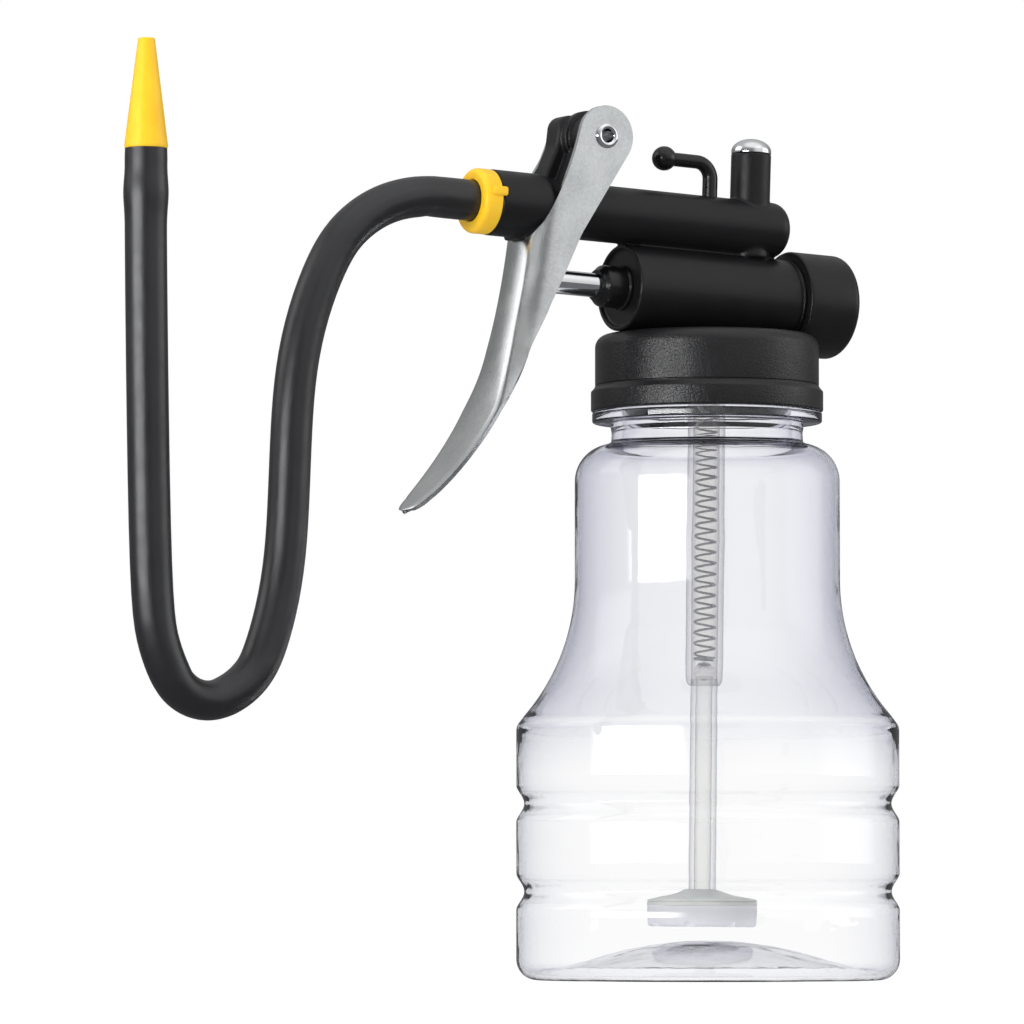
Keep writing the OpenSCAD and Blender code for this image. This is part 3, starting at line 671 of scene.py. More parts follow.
bottle = lathe("bottle_shell", bottle_profile(), PET, segments=160, sharp=None)
ridge = [(-0.5, -1.15), (1.2, -0.45), (1.2, 0.45), (-0.5, 1.15)]
boolean(bottle, thread(NECK_R, ridge, start_z=140.2, start_angle=3.3), 50, "UNION")
place(bottle, "bottle", "clear_pet", "bottle")

# ------------------------------------------------------------------ lid
LID_BORE_R = 24.8
LID = [(LID_BORE_R, 136.7, 0.2), (28.0, 136.7, 0.35), (28.0, 141.4, 0.5), (27.15, 142.35, 0.4),
       (27.12, 142.62, 0.1), (26.8, 142.68, 0.08), (26.8, 142.88, 0.08), (27.0, 143.0, 0.15),
       (27.0, 155.2, 3.1), (8.05, 155.2, 0.2), (8.05, 150.4, 0.1), (LID_BORE_R, 150.4, 0.5)]
lid = lathe("lid_cap", fillet(LID, closed=True), BLACK_LID, segments=192, closed=True, sharp=30)
# Clearance for the barrel and for the rear cap, then a small hole through the top.
boolean(lid, cylinder(10.52, -26, 22.2, HEAD @ Z_TO_X), 30)
boolean(lid, cylinder(12.75, 22.1, 40, HEAD @ Z_TO_X), 30)
boolean(lid, cylinder(0.8, 140, 160, shift(0, 15.8, 0), 32), 30)
ridge = [(0.5, 1.15), (-1.2, 0.45), (-1.2, -0.45), (0.5, -1.15)]
boolean(lid, thread(LID_BORE_R, ridge, start_z=139.24, start_angle=43.7), 30, "UNION")
place(lid, "head", "black_plastic", "lid")


# ------------------------------------------------------------------ pump housing: distances
# Each function gives signed distances, negative inside, for an array of points.
def polygon_distance(x, y, polygon):
    start = np.asarray(polygon, np.float32)
    best = np.full(x.shape, 1e9, np.float32)
    inside = np.zeros(x.shape, bool)
    for (ax, ay), (bx, by) in zip(start, np.roll(start, -1, axis=0)):
        ex, ey = bx - ax, by - ay
        wx, wy = x - ax, y - ay
        t = np.clip((wx * ex + wy * ey) / max(ex * ex + ey * ey, 1e-12), 0, 1)
        dx, dy = wx - ex * t, wy - ey * t
        np.minimum(best, dx * dx + dy * dy, out=best)
        if by != ay:
            inside ^= (y >= min(ay, by)) & (y < max(ay, by)) & (x < ax + (y - ay) / (by - ay) * ex)
    distance = np.sqrt(best)
    return np.where(inside, -distance, distance)


def rounded_overlap(a, b, rounding):
    """Intersection of two distances with a rounded outer edge."""
    a, b = a + rounding, b + rounding
    outside = np.hypot(np.maximum(a, 0), np.maximum(b, 0))
    return np.minimum(np.maximum(a, b), 0) + outside - rounding


def blend(a, b, width):
    """Union of two distances with a fillet."""
    h = np.maximum(width - np.abs(a - b), 0) / width
    return np.minimum(a, b) - h * h * width * 0.25


def span(values, start, end):
    return np.abs(values - (start + end) / 2) - (end - start) / 2


def turned_distance(p, profile, z=0.0):
    """A closed (x, radius) profile turned round an axis along X at height z."""
    return polygon_distance(p[:, 0], np.hypot(p[:, 1], p[:, 2] - z), profile)


def bar_distance(p, axis, centre, start, end, radius, rounding=0.01):
    """A round bar along an axis; its centre is given on the other two axes, in order."""
    a, b = [i for i in range(3) if i != axis]
    across = np.hypot(p[:, a] - centre[0], p[:, b] - centre[1]) - radius
    return rounded_overlap(across, span(p[:, axis], start, end), rounding)


def slab_distance(p, polygon, start, end, rounding):
    """An (x, z) polygon between two values of y."""
    outline = polygon_distance(p[:, 0], p[:, 2], polygon)
    return rounded_overlap(outline, span(p[:, 1], start, end), rounding)


def box_distance(p, low, high, rounding):
    low, high = np.array(low), np.array(high)
    centre, half = (low + high) / 2, (high - low) / 2 - rounding
    q = np.abs(p - centre.astype(np.float32)) - half.astype(np.float32)
    return np.linalg.norm(np.maximum(q, 0), axis=1) + np.minimum(q.max(1), 0) - rounding


# ------------------------------------------------------------------ pump housing: shape
def at_pivot(points):
    return [(PIVOT_X + x, PIVOT_Z + z, *radius) for x, z, *radius in points]


X, Y, Z = range(3)
# (x, radius[, corner radius])
BARREL = fillet([(-23.9, 0.0), (-23.9, 8.6), (-23.9, 9.25, 0.3), (-24.8, 9.45, 0.2),
                 (-24.8, 10.45, 0.55), (-23.5, 10.4, 0.3), (20.9, 10.4, 0.12), (21.02, 9.9, 0.1),
                 (21.4, 9.9, 0.1), (21.5, 10.4, 0.1), (22.0, 10.4, 0.1), (22.1, 10.0, 0.1),
                 (28, 10.0, 0.3), (28, 5), (28, 0)])
UPPER_TUBE = fillet([(-52, 0), (-52, 6.8), (20.5, 6.8, 3.8), (20.5, 0)])
HOSE_SOCKET = fillet([(-61.85, 0), (-61.85, 7.85, 0.45), (-47.6, 7.85, 2.2), (-46.4, 5.6, 0.5),
                      (-46.4, 0)])
# (x, z[, corner radius]) from the pivot
FAR_LUG = fillet(at_pivot([(-7.1, 5.8, 3.5), (4.9, 5.0, 3.4), (4.6, -1.0, 4.0), (3.0, -12.5),
                           (-11.9, -12.5), (-10.36, -8.3, 3.0), (-7.8, -2.1, 4.0)]), closed=True)
NEAR_LUG = at_pivot([(5.9 * math.cos(rad(a)), 5.9 * math.sin(rad(a))) for a in range(-30, 207, 8)]
                    + [(-5.2, -2.6), (-8.5, -12), (0.5, -12), (5.0, -3)])
# axis, centre on the other two axes, start, end, radius
BORES = [(X, (0, 0), -20, 31, 7.5), (X, (0, 0), -26, -20.6, 4.5), (X, (0, 0), -26, -19, 3.05),
         (Z, (VALVE_X, 0), 5, 14, 1.5), (Z, (VALVE_X, 0), 13.2, 44, 3.2),
         (X, (0, TUBE_H), -63, VALVE_X, 2.4), (X, (0, TUBE_H), -63, -49, 4.55),
         (X, (0, TUBE_H), -63, -54.6, 6.02), (Y, (PIVOT_X, PIVOT_Z), -16, 16, 2.25),
         (Z, (0, 0), TUBE_H + 4.2, TUBE_H + 12, 1.86)]


def housing_distance(p):
    pivot = (PIVOT_X, PIVOT_Z)
    rib = box_distance(p, (-20.5, -2.2, 8.0), (16.5, 2.2, 13.5), 0.5)
    post = bar_distance(p, Z, (VALVE_X, 0), 10, 35.5, 4.85, 0.4)
    nub = box_distance(p, (-55.5, -3.1, TUBE_H - 8.4), (-53.5, 3.1, TUBE_H - 5.1), 0.6)
    solid = blend(turned_distance(p, BARREL), rib, 0.7)
    solid = blend(solid, turned_distance(p, UPPER_TUBE, TUBE_H), 0.9)
    solid = blend(solid, turned_distance(p, HOSE_SOCKET, TUBE_H), 0.8)
    solid = blend(solid, post, 0.5)
    disc = bar_distance(p, Y, pivot, -1.3, 1.3, 6.8, 0.3)
    lug = blend(slab_distance(p, NEAR_LUG, -7.0, 0.9, 0.45), disc, 0.25)
    lug = blend(lug, slab_distance(p, FAR_LUG, 0.8, 7.0, 0.9), 0.3)
    solid = blend(blend(solid, lug, 0.9), nub, 0.7)
    # The upright stem in the lid's opening doesn't tilt with the head.
    upright = transform(HEAD, p).astype(np.float32)
    solid = np.minimum(solid, bar_distance(upright, Z, (0, 0), 140.0, 155.1, 8.0, 0.2))

    key_slot = box_distance(p, (-62.6, -9.0, TUBE_H + 0.78), (-60.8, -5.5, TUBE_H + 3.12), 0.1)
    leaning = transform(np.linalg.inv(SUCTION), upright.astype(float)).astype(np.float32)
    hollow = np.minimum(key_slot, bar_distance(leaning, Z, (0, 0), 138, 150.6, 4.52))
    for bore in BORES:
        hollow = np.minimum(hollow, bar_distance(p, *bore))
    return np.maximum(solid, -hollow)


# ------------------------------------------------------------------ pump housing: surface nets
def window(array, offset, shape):
    return array[tuple(slice(o, o + n) for o, n in zip(offset, shape))]


def sample_field(distance, low, high, step, coarse=5):
    """Distances on a grid, worked out only in a band near the surface found on a coarse grid."""
    size = np.ceil((high - low) / (step * coarse)).astype(int) * coarse + 1
    coarse_axes = [(low[i] + step * np.arange(size[i]))[::coarse] for i in range(3)]
    points = np.stack(np.meshgrid(*coarse_axes, indexing="ij"), -1).reshape(-1, 3)
    sketch = distance(points.astype(np.float32)).reshape([len(a) for a in coarse_axes])
    near = np.zeros([n - 1 for n in sketch.shape], bool)
    negative = np.zeros_like(near)
    for corner in np.ndindex(2, 2, 2):
        values = window(sketch, corner, near.shape)
        near |= np.abs(values) < step * coarse * 1.75
        negative |= values < 0

    def refine(cells):
        for axis in range(3):
            cells = np.repeat(cells, coarse, axis)
        return cells

    field = np.full(size, 9.0, np.float32)
    filled, band = refine(negative & ~near), refine(near)
    window(field, (0, 0, 0), filled.shape)[filled] = -9.0
    active = np.zeros(size, bool)
    for corner in np.ndindex(2, 2, 2):
        view = window(active, corner, band.shape)
        view |= band
    index = np.argwhere(active)
    points = (low + step * index).astype(np.float32)
    batch = 400000
    field[tuple(index.T)] = np.concatenate(
        [distance(points[i:i + batch]) for i in range(0, len(points), batch)])
    return field


def net_points(field, cells):
    """For each cell, the mean of the places where the surface crosses its edges, in steps."""
    total, count = np.zeros((len(cells), 3)), np.zeros(len(cells))
    for axis in range(3):
        others = [i for i in range(3) if i != axis]
        for offset in np.ndindex(2, 2):
            start = cells.copy()
            start[:, others] += np.array(offset)
            end = start.copy()
            end[:, axis] += 1
            a, b = field[tuple(start.T)], field[tuple(end.T)]
            crossed = (a < 0) != (b < 0)
            place_on_edge = np.where(crossed, a / np.where(crossed, a - b, 1), 0)
            point = start.astype(float)
            point[:, axis] += place_on_edge
            total[crossed] += point[crossed]
            count[crossed] += 1
    return total / count[:, None]


def net_faces(inside, vertex_ids):
    """A quad round each grid edge that crosses the surface."""
    size, faces = np.array(inside.shape), []
    for axis in range(3):
        others = [(axis + 1) % 3, (axis + 2) % 3]
        crossed = (inside.take(range(size[axis] - 1), axis)
                   != inside.take(range(1, size[axis]), axis))
        edges = np.argwhere(crossed)
        across = edges[:, others]
        edges = edges[((across > 0) & (across < size[others] - 1)).all(1)]
        corners = []
        for offset in ((-1, -1), (0, -1), (0, 0), (-1, 0)):
            cell = edges.copy()
            cell[:, others] += np.array(offset)
            corners.append(vertex_ids[tuple(cell.T)])
        quads = np.stack(corners, 1)
        backward = ~inside[tuple(edges.T)]
        quads[backward] = quads[backward][:, ::-1]
        faces.append(quads)
    faces = np.vstack(faces)
    return faces[(faces >= 0).all(1)]


def settle(distance, verts, reach=0.02):
    """Moves every vertex onto the exact surface, along the slope of the distance."""
    offsets = np.eye(3, dtype=np.float32) * reach
    for _ in range(4):
        points = verts.astype(np.float32)
        here = distance(points)
        slope = np.stack([(distance(points + o) - distance(points - o)) / (2 * reach)
                          for o in offsets], 1)
        slope = slope / np.maximum(np.linalg.norm(slope, axis=1), 0.3)[:, None]
        verts = verts - slope * np.clip(here, -0.25, 0.25)[:, None]
    return verts


def surface_net(distance, low, high, step):
    low, high = np.array(low, float), np.array(high, float)
    field = sample_field(distance, low, high, step)
    inside = field < 0
    count = np.zeros([n - 1 for n in field.shape], np.int8)
    for corner in np.ndindex(2, 2, 2):
        count += window(inside, corner, count.shape)
    cells = np.argwhere((count > 0) & (count < 8))
    vertex_ids = np.full(count.shape, -1, np.int64)
    vertex_ids[tuple(cells.T)] = np.arange(len(cells))
    # The factor goes on the summed places, so the grid step scales their mean.
    verts = low + step * net_points(field, cells)
    return settle(distance, verts), net_faces(inside, vertex_ids)


net_step = 0.6 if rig.quick() else 0.33
verts, faces = surface_net(housing_distance, (-62.5, -12.0, -25.5), (30.5, 12.0, 41.5), net_step)
housing = mesh_object("pump_housing", verts, faces, BLACK, HEAD, recalc=False)
place(housing, "head", "black_plastic", "pump_body")

# ------------------------------------------------------------------ round parts of the head
# (x, radius[, corner radius])
REAR_CAP = [(33.4, 0), (33.4, 7.0, 0.3), (28.8, 7.0, 0.2), (28.8, 10.03, 0.1), (22.3, 10.03, 0.1),
            (22.3, 12.3, 0.35), (22.9, 12.6, 0.4), (36.9, 12.6, 4.1), (36.9, 8)]
rear_cap = lathe_x("rear_screw_cap", fillet(REAR_CAP)[:-1] + [(36.9, 7.5), (36.9, 3.5), (36.9, 0)],
                   BLACK, HEAD, 160, sharp=35)
place(rear_cap, "head", "black_plastic", "rear_cap")

GLAND = [(-31.5, 2.95), (-31.5, 3.75, 0.25), (-30.9, 4.15, 0.3), (-30.1, 4.9, 0.4),
         (-29.5, 5.05, 0.4), (-25.0, 5.05, 0.2), (-24.6, 5.4, 0.15), (-23.95, 5.4, 0.1),
         (-23.95, 4.48, 0.1), (-22.2, 4.48, 0.1), (-22.2, 2.95)]
gland = lathe_x("gland", fillet(GLAND), BLACK_GLOSS, HEAD, 96, closed=True, sharp=30)
place(gland, "head", "black_plastic", "gland_nut")

ROD_R, ROD_TIP = 2.9, -51.95
PISTON_X, PISTON_LENGTH, PISTON_BORE_R = -19.5, 11.5, 2.0
rod = lathe_x("rod_bar", fillet([
    (ROD_TIP, 0), (ROD_TIP + 0.06, 0.8), (ROD_TIP + 0.22, 1.4), (ROD_TIP + 0.55, 2.1),
    (ROD_TIP + 1.5, ROD_R, 0.8), (PISTON_X, ROD_R, 0.15), (PISTON_X, PISTON_BORE_R, 0.1),
    (PISTON_X + PISTON_LENGTH, PISTON_BORE_R, 0.3), (PISTON_X + PISTON_LENGTH, 0)]),
    CHROME, HEAD, 96)
place(rod, "rod", "chrome_steel", "piston_rod")


def collar_key():
    """A rounded block on the collar's near side."""
    low, high = (-65.0, -8.25, 0.85), (-60.9, -6.2, 3.05)
    bm = bmesh.new()
    bmesh.ops.create_cube(bm, size=1)
    for v in bm.verts:
        v.co = Vector([low[i] + (v.co[i] + 0.5) * (high[i] - low[i]) for i in range(3)])
    bmesh.ops.bevel(bm, geom=bm.edges[:], offset=0.5, segments=3, profile=0.5, affect="EDGES")
    verts = [tuple(v.co) for v in bm.verts]
    faces = [[v.index for v in face.verts] for face in bm.faces]
    bm.free()
    return mesh_object("key", verts, faces, None, TUBE, sharp=40)


COLLAR = [(-66.6, 4.95, 0.3), (-66.6, 7.75, 1.9), (-62.1, 7.75, 0.25), (-61.9, 7.45, 0.12),
          (-61.9, 6.0, 0.1), (-57.0, 6.0, 0.2), (-57.0, 4.95, 0.1)]
collar = lathe_x("collar_ring", fillet(COLLAR, closed=True), YELLOW, TUBE, closed=True, sharp=32)
boolean(collar, collar_key(), 32, "UNION")
place(collar, "head", "yellow_plastic", "hose_collar")


def build_hook():
    """A bar that rises from the upper tube, bends towards -X and ends in a ball."""
    foot_z, arm_z, bend, end_x = TUBE_H + 4.25, 32.25, 4, -13.2
    # position, direction across the bar, scale of the section
    stations = [((0, 0, z), (1, 0, 0), 1.0) for z in np.linspace(foot_z, arm_z - bend, 8)]
    for i in range(1, 13):
        a = rad(90 * i / 12)
        point = (-bend + bend * math.cos(a), 0, arm_z - bend + bend * math.sin(a))
        stations.append((point, (math.cos(a), 0, math.sin(a)), 1.0 - 0.1 * i / 12))
    stations += [((x, 0, arm_z), (0, 0, 1), 0.9) for x in np.linspace(-4.5, end_x, 10)]
    path, side, scale = zip(*stations)
    verts, faces = sweep(path, side, [(0, 1, 0)] * len(path), circle(1.84, 40), scale)
    hook = mesh_object("hook_arm", verts, faces, BLACK_GLOSS, HEAD)
    ball = lathe("ball", ball_profile(2.95), None, HEAD @ shift(end_x, 0, arm_z), 48)
    boolean(hook, ball, 40, "UNION")
    place(hook, "head", "black_plastic", "hose_hook")


build_hook()

PLUG = [(0, 28), (2.9, 28), (3.17, 28.3, 0.1), (3.17, 30.2, 0.1), (2.3, 30.2, 0.1),
        (2.3, 32.2, 0.1), (3.17, 32.2, 0.1), (3.17, 35.52, 0.1), (4.85, 35.52, 0.15), (4.85, 36.1)]
plug_dome = [(4.85 * math.cos(rad(a)), 36.1 + 3.1 * math.sin(rad(a))) for a in range(0, 91, 5)]
plug = lathe("valve_dome", fillet(PLUG)[:-1] + plug_dome, CHROME, VALVE, 96)
place(plug, "head", "chrome_steel", "valve_plug")

# ------------------------------------------------------------------ lever
# A folded sheet channel, open towards +X: its web faces -X and its two cheeks reach the pivot.
SHEET_THICK = 1.2
HALF_WIDTH = 7.9 + SHEET_THICK
TIP_R = 5.4                                             # rounded lower end
FOLD_R = 5.0
WEB_TOP, WEB_TOP_HEADING = (-51.826, 175.7), 8.26
WEB_ARCS = [(197.0, 8.24), (64.0, 18.5), (94.0, 16.0)]  # (radius, turn in degrees), downwards
CHEEK_FOOT = (-55.6, 144.5)
CHEEK_COLS, FOLD_COLS, WEB_COLS = 9, 10, 7
SIDE_COLS = CHEEK_COLS + FOLD_COLS + 1
CROWN = 1.6                                             # how much the web bulges


def web_curve(steps=26):
    """Rows of (x, z, heading) down the middle of the web."""
    point, heading, rows = np.array(WEB_TOP), WEB_TOP_HEADING, []
    for radius, turn in WEB_ARCS:
        centre = point + radius * np.array([-math.cos(rad(heading)), math.sin(rad(heading))])

        def on_arc(angle):
            return centre + radius * np.array([math.cos(rad(angle)), -math.sin(rad(angle))])

        for k in range(steps):
            angle = heading + turn * k / steps
            rows.append([*on_arc(angle), angle])
        heading += turn
        point = on_arc(heading)
    rows.append([*point, heading])
    return np.array(rows)


web = web_curve()
web_run = np.r_[0, np.cumsum(np.hypot(*np.diff(web[:, :2], axis=0).T))]
tip_distance = web_run[-1] - web_run


def ray_hit(point, direction, polyline):
    """Distance to the first crossing of a polyline, or None."""
    best = None
    for a, b in zip(polyline[:-1], polyline[1:]):
        edge, to_start = b - a, a - point
        cross = direction[0] * edge[1] - direction[1] * edge[0]
        if abs(cross) < 1e-9:
            continue
        t = (to_start[0] * edge[1] - to_start[1] * edge[0]) / cross
        s = (to_start[0] * direction[1] - to_start[1] * direction[0]) / cross
        if t > 0 and -0.001 <= s <= 1.001 and (best is None or t < best):
            best = t
    return best


def smooth_step(x, low, high):
    x = min(1.0, max(0.0, (x - low) / (high - low)))
    return x * x * (3 - 2 * x)


def spline(points, steps=8):
    """Catmull-Rom through the points."""
    p = [np.array(point, float) for point in points]
    p = [2 * p[0] - p[1]] + p + [2 * p[-1] - p[-2]]
    out = []
    for a, b, c, d in zip(p, p[1:], p[2:], p[3:]):
        for k in range(steps):
            t = k / steps
            out.append(0.5 * ((2 * b) + (-a + c) * t + (2 * a - 5 * b + 4 * c - d) * t * t
                              + (-a + 3 * b - 3 * c + d) * t ** 3))
    out.append(p[-2])
    return np.array(out)


def resample(polyline, fractions):
    polyline = np.asarray(polyline)
    run = np.r_[0, np.cumsum(np.hypot(*np.diff(polyline, axis=0).T))]
    at = fractions * run[-1]
    return np.c_[np.interp(at, run, polyline[:, 0]), np.interp(at, run, polyline[:, 1])]


def cheek_edges(eye_radius, shoulder):
    """The cheek's -X and +X edges up to the top of the eye round the pivot, as (x, z)."""
    def on_eye(angle):
        turned = np.array([math.cos(rad(angle)), math.sin(rad(angle))])
        return np.array([pivot_x, pivot_z]) + eye_radius * turned

    apex, front_angle, rear_angle = 56, 160, -33
    front = spline([WEB_TOP, (-50.7, 178.0), (-49.6, 180.1), (-46.9, 186.0), (-44.2, 192.0),
                    shoulder, on_eye(front_angle)])[:-1]
    front = np.vstack([front, [on_eye(a) for a in np.linspace(front_angle, apex, 16)]])
    lower, corner, end = [(-54.2, 148.6), (-49.2, 160.0), (-46.0, 166.0)], \
        np.array((-40.7, 177.0)), on_eye(rear_angle)
    straight = [corner + (end - corner) * k / 10 for k in range(10)]
    rear = np.vstack([lower, straight, [on_eye(a) for a in np.linspace(rear_angle, apex, 20)]])
    return front, rear


def crown(y, amount):
    return amount * ((abs(y) / HALF_WIDTH) ** 2 - 0.95)


def fold_section(depth, radius, half_width, angle):
    """(depth, y) points from the cheek's edge round the fold to the start of the web."""
    straight = max(0.0, depth - radius) if angle >= 89.9 else 0.0
    curved = radius * rad(angle)
    total, weight = straight + curved, min(1.0, straight / 3.0)
    out = []
    for k in range(SIDE_COLS):
        if k <= CHEEK_COLS:
            piece = straight / total * k / CHEEK_COLS
        else:
            piece = (straight + curved * (k - CHEEK_COLS) / FOLD_COLS) / total
        run = (weight * piece + (1 - weight) * (k / (SIDE_COLS - 1))) * total
        if run < straight:
            out.append((depth - run, half_width))
        else:
            a = rad(angle) - (run - straight) / radius
            y = half_width - radius * math.sin(rad(angle)) + radius * math.sin(a)
            out.append((radius * (1 - math.cos(a)), y))
    return out


def half_width_at(z, to_tip):
    if to_tip < TIP_R:
        return max(0.25, TIP_R * math.sqrt(max(0.0, 1 - ((TIP_R - to_tip) / TIP_R) ** 2)))
    if z > 138:
        return HALF_WIDTH
    grown = min(1, max(0, (to_tip - TIP_R) / 30.0)) ** 0.55
    return TIP_R + (HALF_WIDTH - TIP_R) * grown


def half_section(i, side, rear):
    """Points from a cheek's +X edge to the middle of the web at one station."""
    x, z, heading = web[i]
    start = np.array([x, z])
    inward = np.array([math.cos(rad(heading)), -math.sin(rad(heading))])
    half_width = half_width_at(z, tip_distance[i])
    depth = ray_hit(start, inward, rear) if z > 148 else None
    if depth is None:
        depth = 1.2 + (3.3 - 1.2) * smooth_step(z, 132, 150)
    radius = FOLD_R + 0.9 * (1 - smooth_step(z, 140, 158))
    if depth >= radius:
        section = fold_section(depth, radius, half_width, 90.0)
    else:
        # Too shallow for a full fold: a flatter arc that ends at the cheek's edge.
        shallow = max(0.4, depth - 0.95 * min(1.0, (radius - depth) / 2.0))
        shallow = min(shallow, radius * 0.98)
        lateral = min(0.6 * half_width, radius * math.sin(math.acos(1 - shallow / radius)))
        if half_width < 6.5:
            shallow = min(shallow, 0.35 * lateral)
        radius = (lateral * lateral + shallow * shallow) / (2 * shallow)
        angle = math.degrees(math.asin(min(1.0, lateral / radius))) if shallow <= radius else 90.0
        section = fold_section(shallow, radius, half_width, angle)
    web_y = section[-1][1]
    section += [(0.0, web_y * (1 - k / WEB_COLS)) for k in range(1, WEB_COLS + 1)]
    bulge = CROWN * smooth_step(tip_distance[i], 4.0, 55.0)
    out = []
    for inset, y in section:
        point = start + inward * (inset + crown(y, bulge))
        out.append((point[0], side * y, point[1]))
    return out


def add_row(verts, faces, previous, points, side):
    """Adds a row of points, joins it to the one before and gives its indices."""
    row = list(range(len(verts), len(verts) + len(points)))
    verts += points
    for k in range(len(row) - 1):
        a, b, c, d = previous[k], previous[k + 1], row[k + 1], row[k]
        faces.append((a, b, c, d) if side < 0 else (a, d, c, b))
    return row


def add_ear(verts, faces, row, side, front, rear, steps=14):
    """Carries one side of the channel on above the web, up to the top of its eye."""
    x, z, heading = web[0]
    start = np.array([x, z])
    upward = np.array([math.sin(rad(heading)), math.cos(rad(heading))])
    inward = np.array([math.cos(rad(heading)), -math.sin(rad(heading))])
    rear_line = np.vstack([CHEEK_FOOT, rear])
    # The height where the front outline has cut the whole fold away.
    low, high = 0.5, 30.0
    for _ in range(40):
        middle = 0.5 * (low + high)
        hit = ray_hit(start + upward * middle, inward, front)
        if hit is not None and hit < FOLD_R:
            low = middle
        else:
            high = middle
    for i in range(1, steps + 1):
        origin = start + upward * (low * i / steps)
        depth = ray_hit(origin, inward, rear_line)
        cut = FOLD_R if i == steps else min(FOLD_R, ray_hit(origin, inward, front) or 0.0)
        cut_angle = math.acos(max(-1.0, 1 - cut / FOLD_R))
        section = [(depth - (depth - FOLD_R) * k / CHEEK_COLS, HALF_WIDTH)
                   for k in range(CHEEK_COLS)]
        for k in range(FOLD_COLS + 1):
            a = math.pi / 2 + (cut_angle - math.pi / 2) * k / FOLD_COLS
            section.append((FOLD_R * (1 - math.cos(a)),
                            HALF_WIDTH - FOLD_R + FOLD_R * math.sin(a)))
        points = []
        for inset, y in section:
            point = origin + inward * (inset + crown(y, CROWN * (1 - i / steps)))
            points.append((point[0], side * y, point[1]))
        row = add_row(verts, faces, row, points, side)

    # From there up the cheek is flat, between its two outlines.
    row = row[:CHEEK_COLS + 1]
    rear_start, front_start = (np.array([verts[j][0], verts[j][2]]) for j in (row[0], row[-1]))
    gap = np.hypot(rear[:, 0] - rear_start[0], rear[:, 1] - rear_start[1])
    rear = np.vstack([rear_start, [p for p in rear[int(np.argmin(gap)):]
                                   if p[1] > rear_start[1] + 0.2]])
    front = np.vstack([front_start, [p for p in front if p[1] > front_start[1] + 0.15]])
    fractions = np.r_[np.linspace(0, 0.8, 16),
                      0.8 + 0.2 * np.sin(np.linspace(0, math.pi / 2, 13)[1:])]
    for a, b in list(zip(resample(rear, fractions), resample(front, fractions)))[1:]:
        across = [a + (b - a) * k / CHEEK_COLS for k in range(CHEEK_COLS + 1)]
        row = add_row(verts, faces, row, [(q[0], side * HALF_WIDTH, q[1]) for q in across], side)


def orient_sheet(mesh):
    """Welds the seams and turns the faces away from the channel's inside."""
    bm = bmesh.new()
    bm.from_mesh(mesh)
    bmesh.ops.remove_doubles(bm, verts=bm.verts, dist=4e-6)
    bmesh.ops.dissolve_degenerate(bm, dist=1e-6, edges=bm.edges)
    bmesh.ops.recalc_face_normals(bm, faces=bm.faces)
    on_web = Vector((-0.0575, 0, 0.148))
    nearest = min(bm.faces, key=lambda face: (face.calc_center_median() - on_web).length)
    if nearest.normal.x > 0:
        bmesh.ops.reverse_faces(bm, faces=bm.faces)
    bm.to_mesh(mesh)
    bm.free()


def build_lever():
    near_front, near_rear = cheek_edges(7.3, shoulder=(-42.2, 197.4))
    far_front, far_rear = cheek_edges(5.6, shoulder=(-41.4, 196.6))
    near_line, far_line = (np.vstack([CHEEK_FOOT, rear]) for rear in (near_rear, far_rear))
    verts, faces, previous = [], [], None
    for i in range(len(web)):
        points = half_section(i, -1, near_line) + half_section(i, 1, far_line)[::-1][1:]
        if previous is None:
            verts += points
            top = previous = list(range(len(points)))
        else:
            previous = add_row(verts, faces, previous, points, -1)
    add_ear(verts, faces, top[:SIDE_COLS], -1, near_front, near_rear)
    add_ear(verts, faces, top[::-1][:SIDE_COLS], 1, far_front, far_rear)

    lever = mesh_object("lever_sheet", verts, faces, SHEET)
    orient_sheet(lever.data)
    solid = lever.modifiers.new("thickness", "SOLIDIFY")
    solid.thickness, solid.offset = SHEET_THICK * MM, -1.0
    solid.use_even_offset, solid.use_quality_normals = False, False
    bevel = lever.modifiers.new("edges", "BEVEL")
    bevel.width, bevel.segments = 0.16 * MM, 2
    bevel.limit_method, bevel.angle_limit = "ANGLE", rad(72)
    lever.data = evaluated_mesh(lever)
    lever.data.materials.clear()
    lever.data.materials.append(SHEET)
    boolean(lever, cylinder(2.22, -20, 20, PIVOT, 48), 40, solvers=("EXACT",))
    place(lever, "lever", "zinc_sheet", "lever")


build_lever()

# Half of the rivet: (radius, distance beyond the cheek, corner radius).
RIVET = [(1.6, 0.55, 0.35), (2.25, 0.85, 0.4), (2.95, 0.5, 0.3), (2.95, 0.03, 0.12),
         (2.2, 0.03, 0.05)]
rivet_profile = ([(r, -HALF_WIDTH - out, corner) for r, out, corner in RIVET]
                 + [(r, HALF_WIDTH + out, corner) for r, out, corner in RIVET[::-1]])
rivet = lathe("rivet_tube", fillet(rivet_profile, closed=True), CHROME, PIVOT, 72, closed=True,
              sharp=40)
place(rivet, "lever", "chrome_steel", "pivot_rivet")

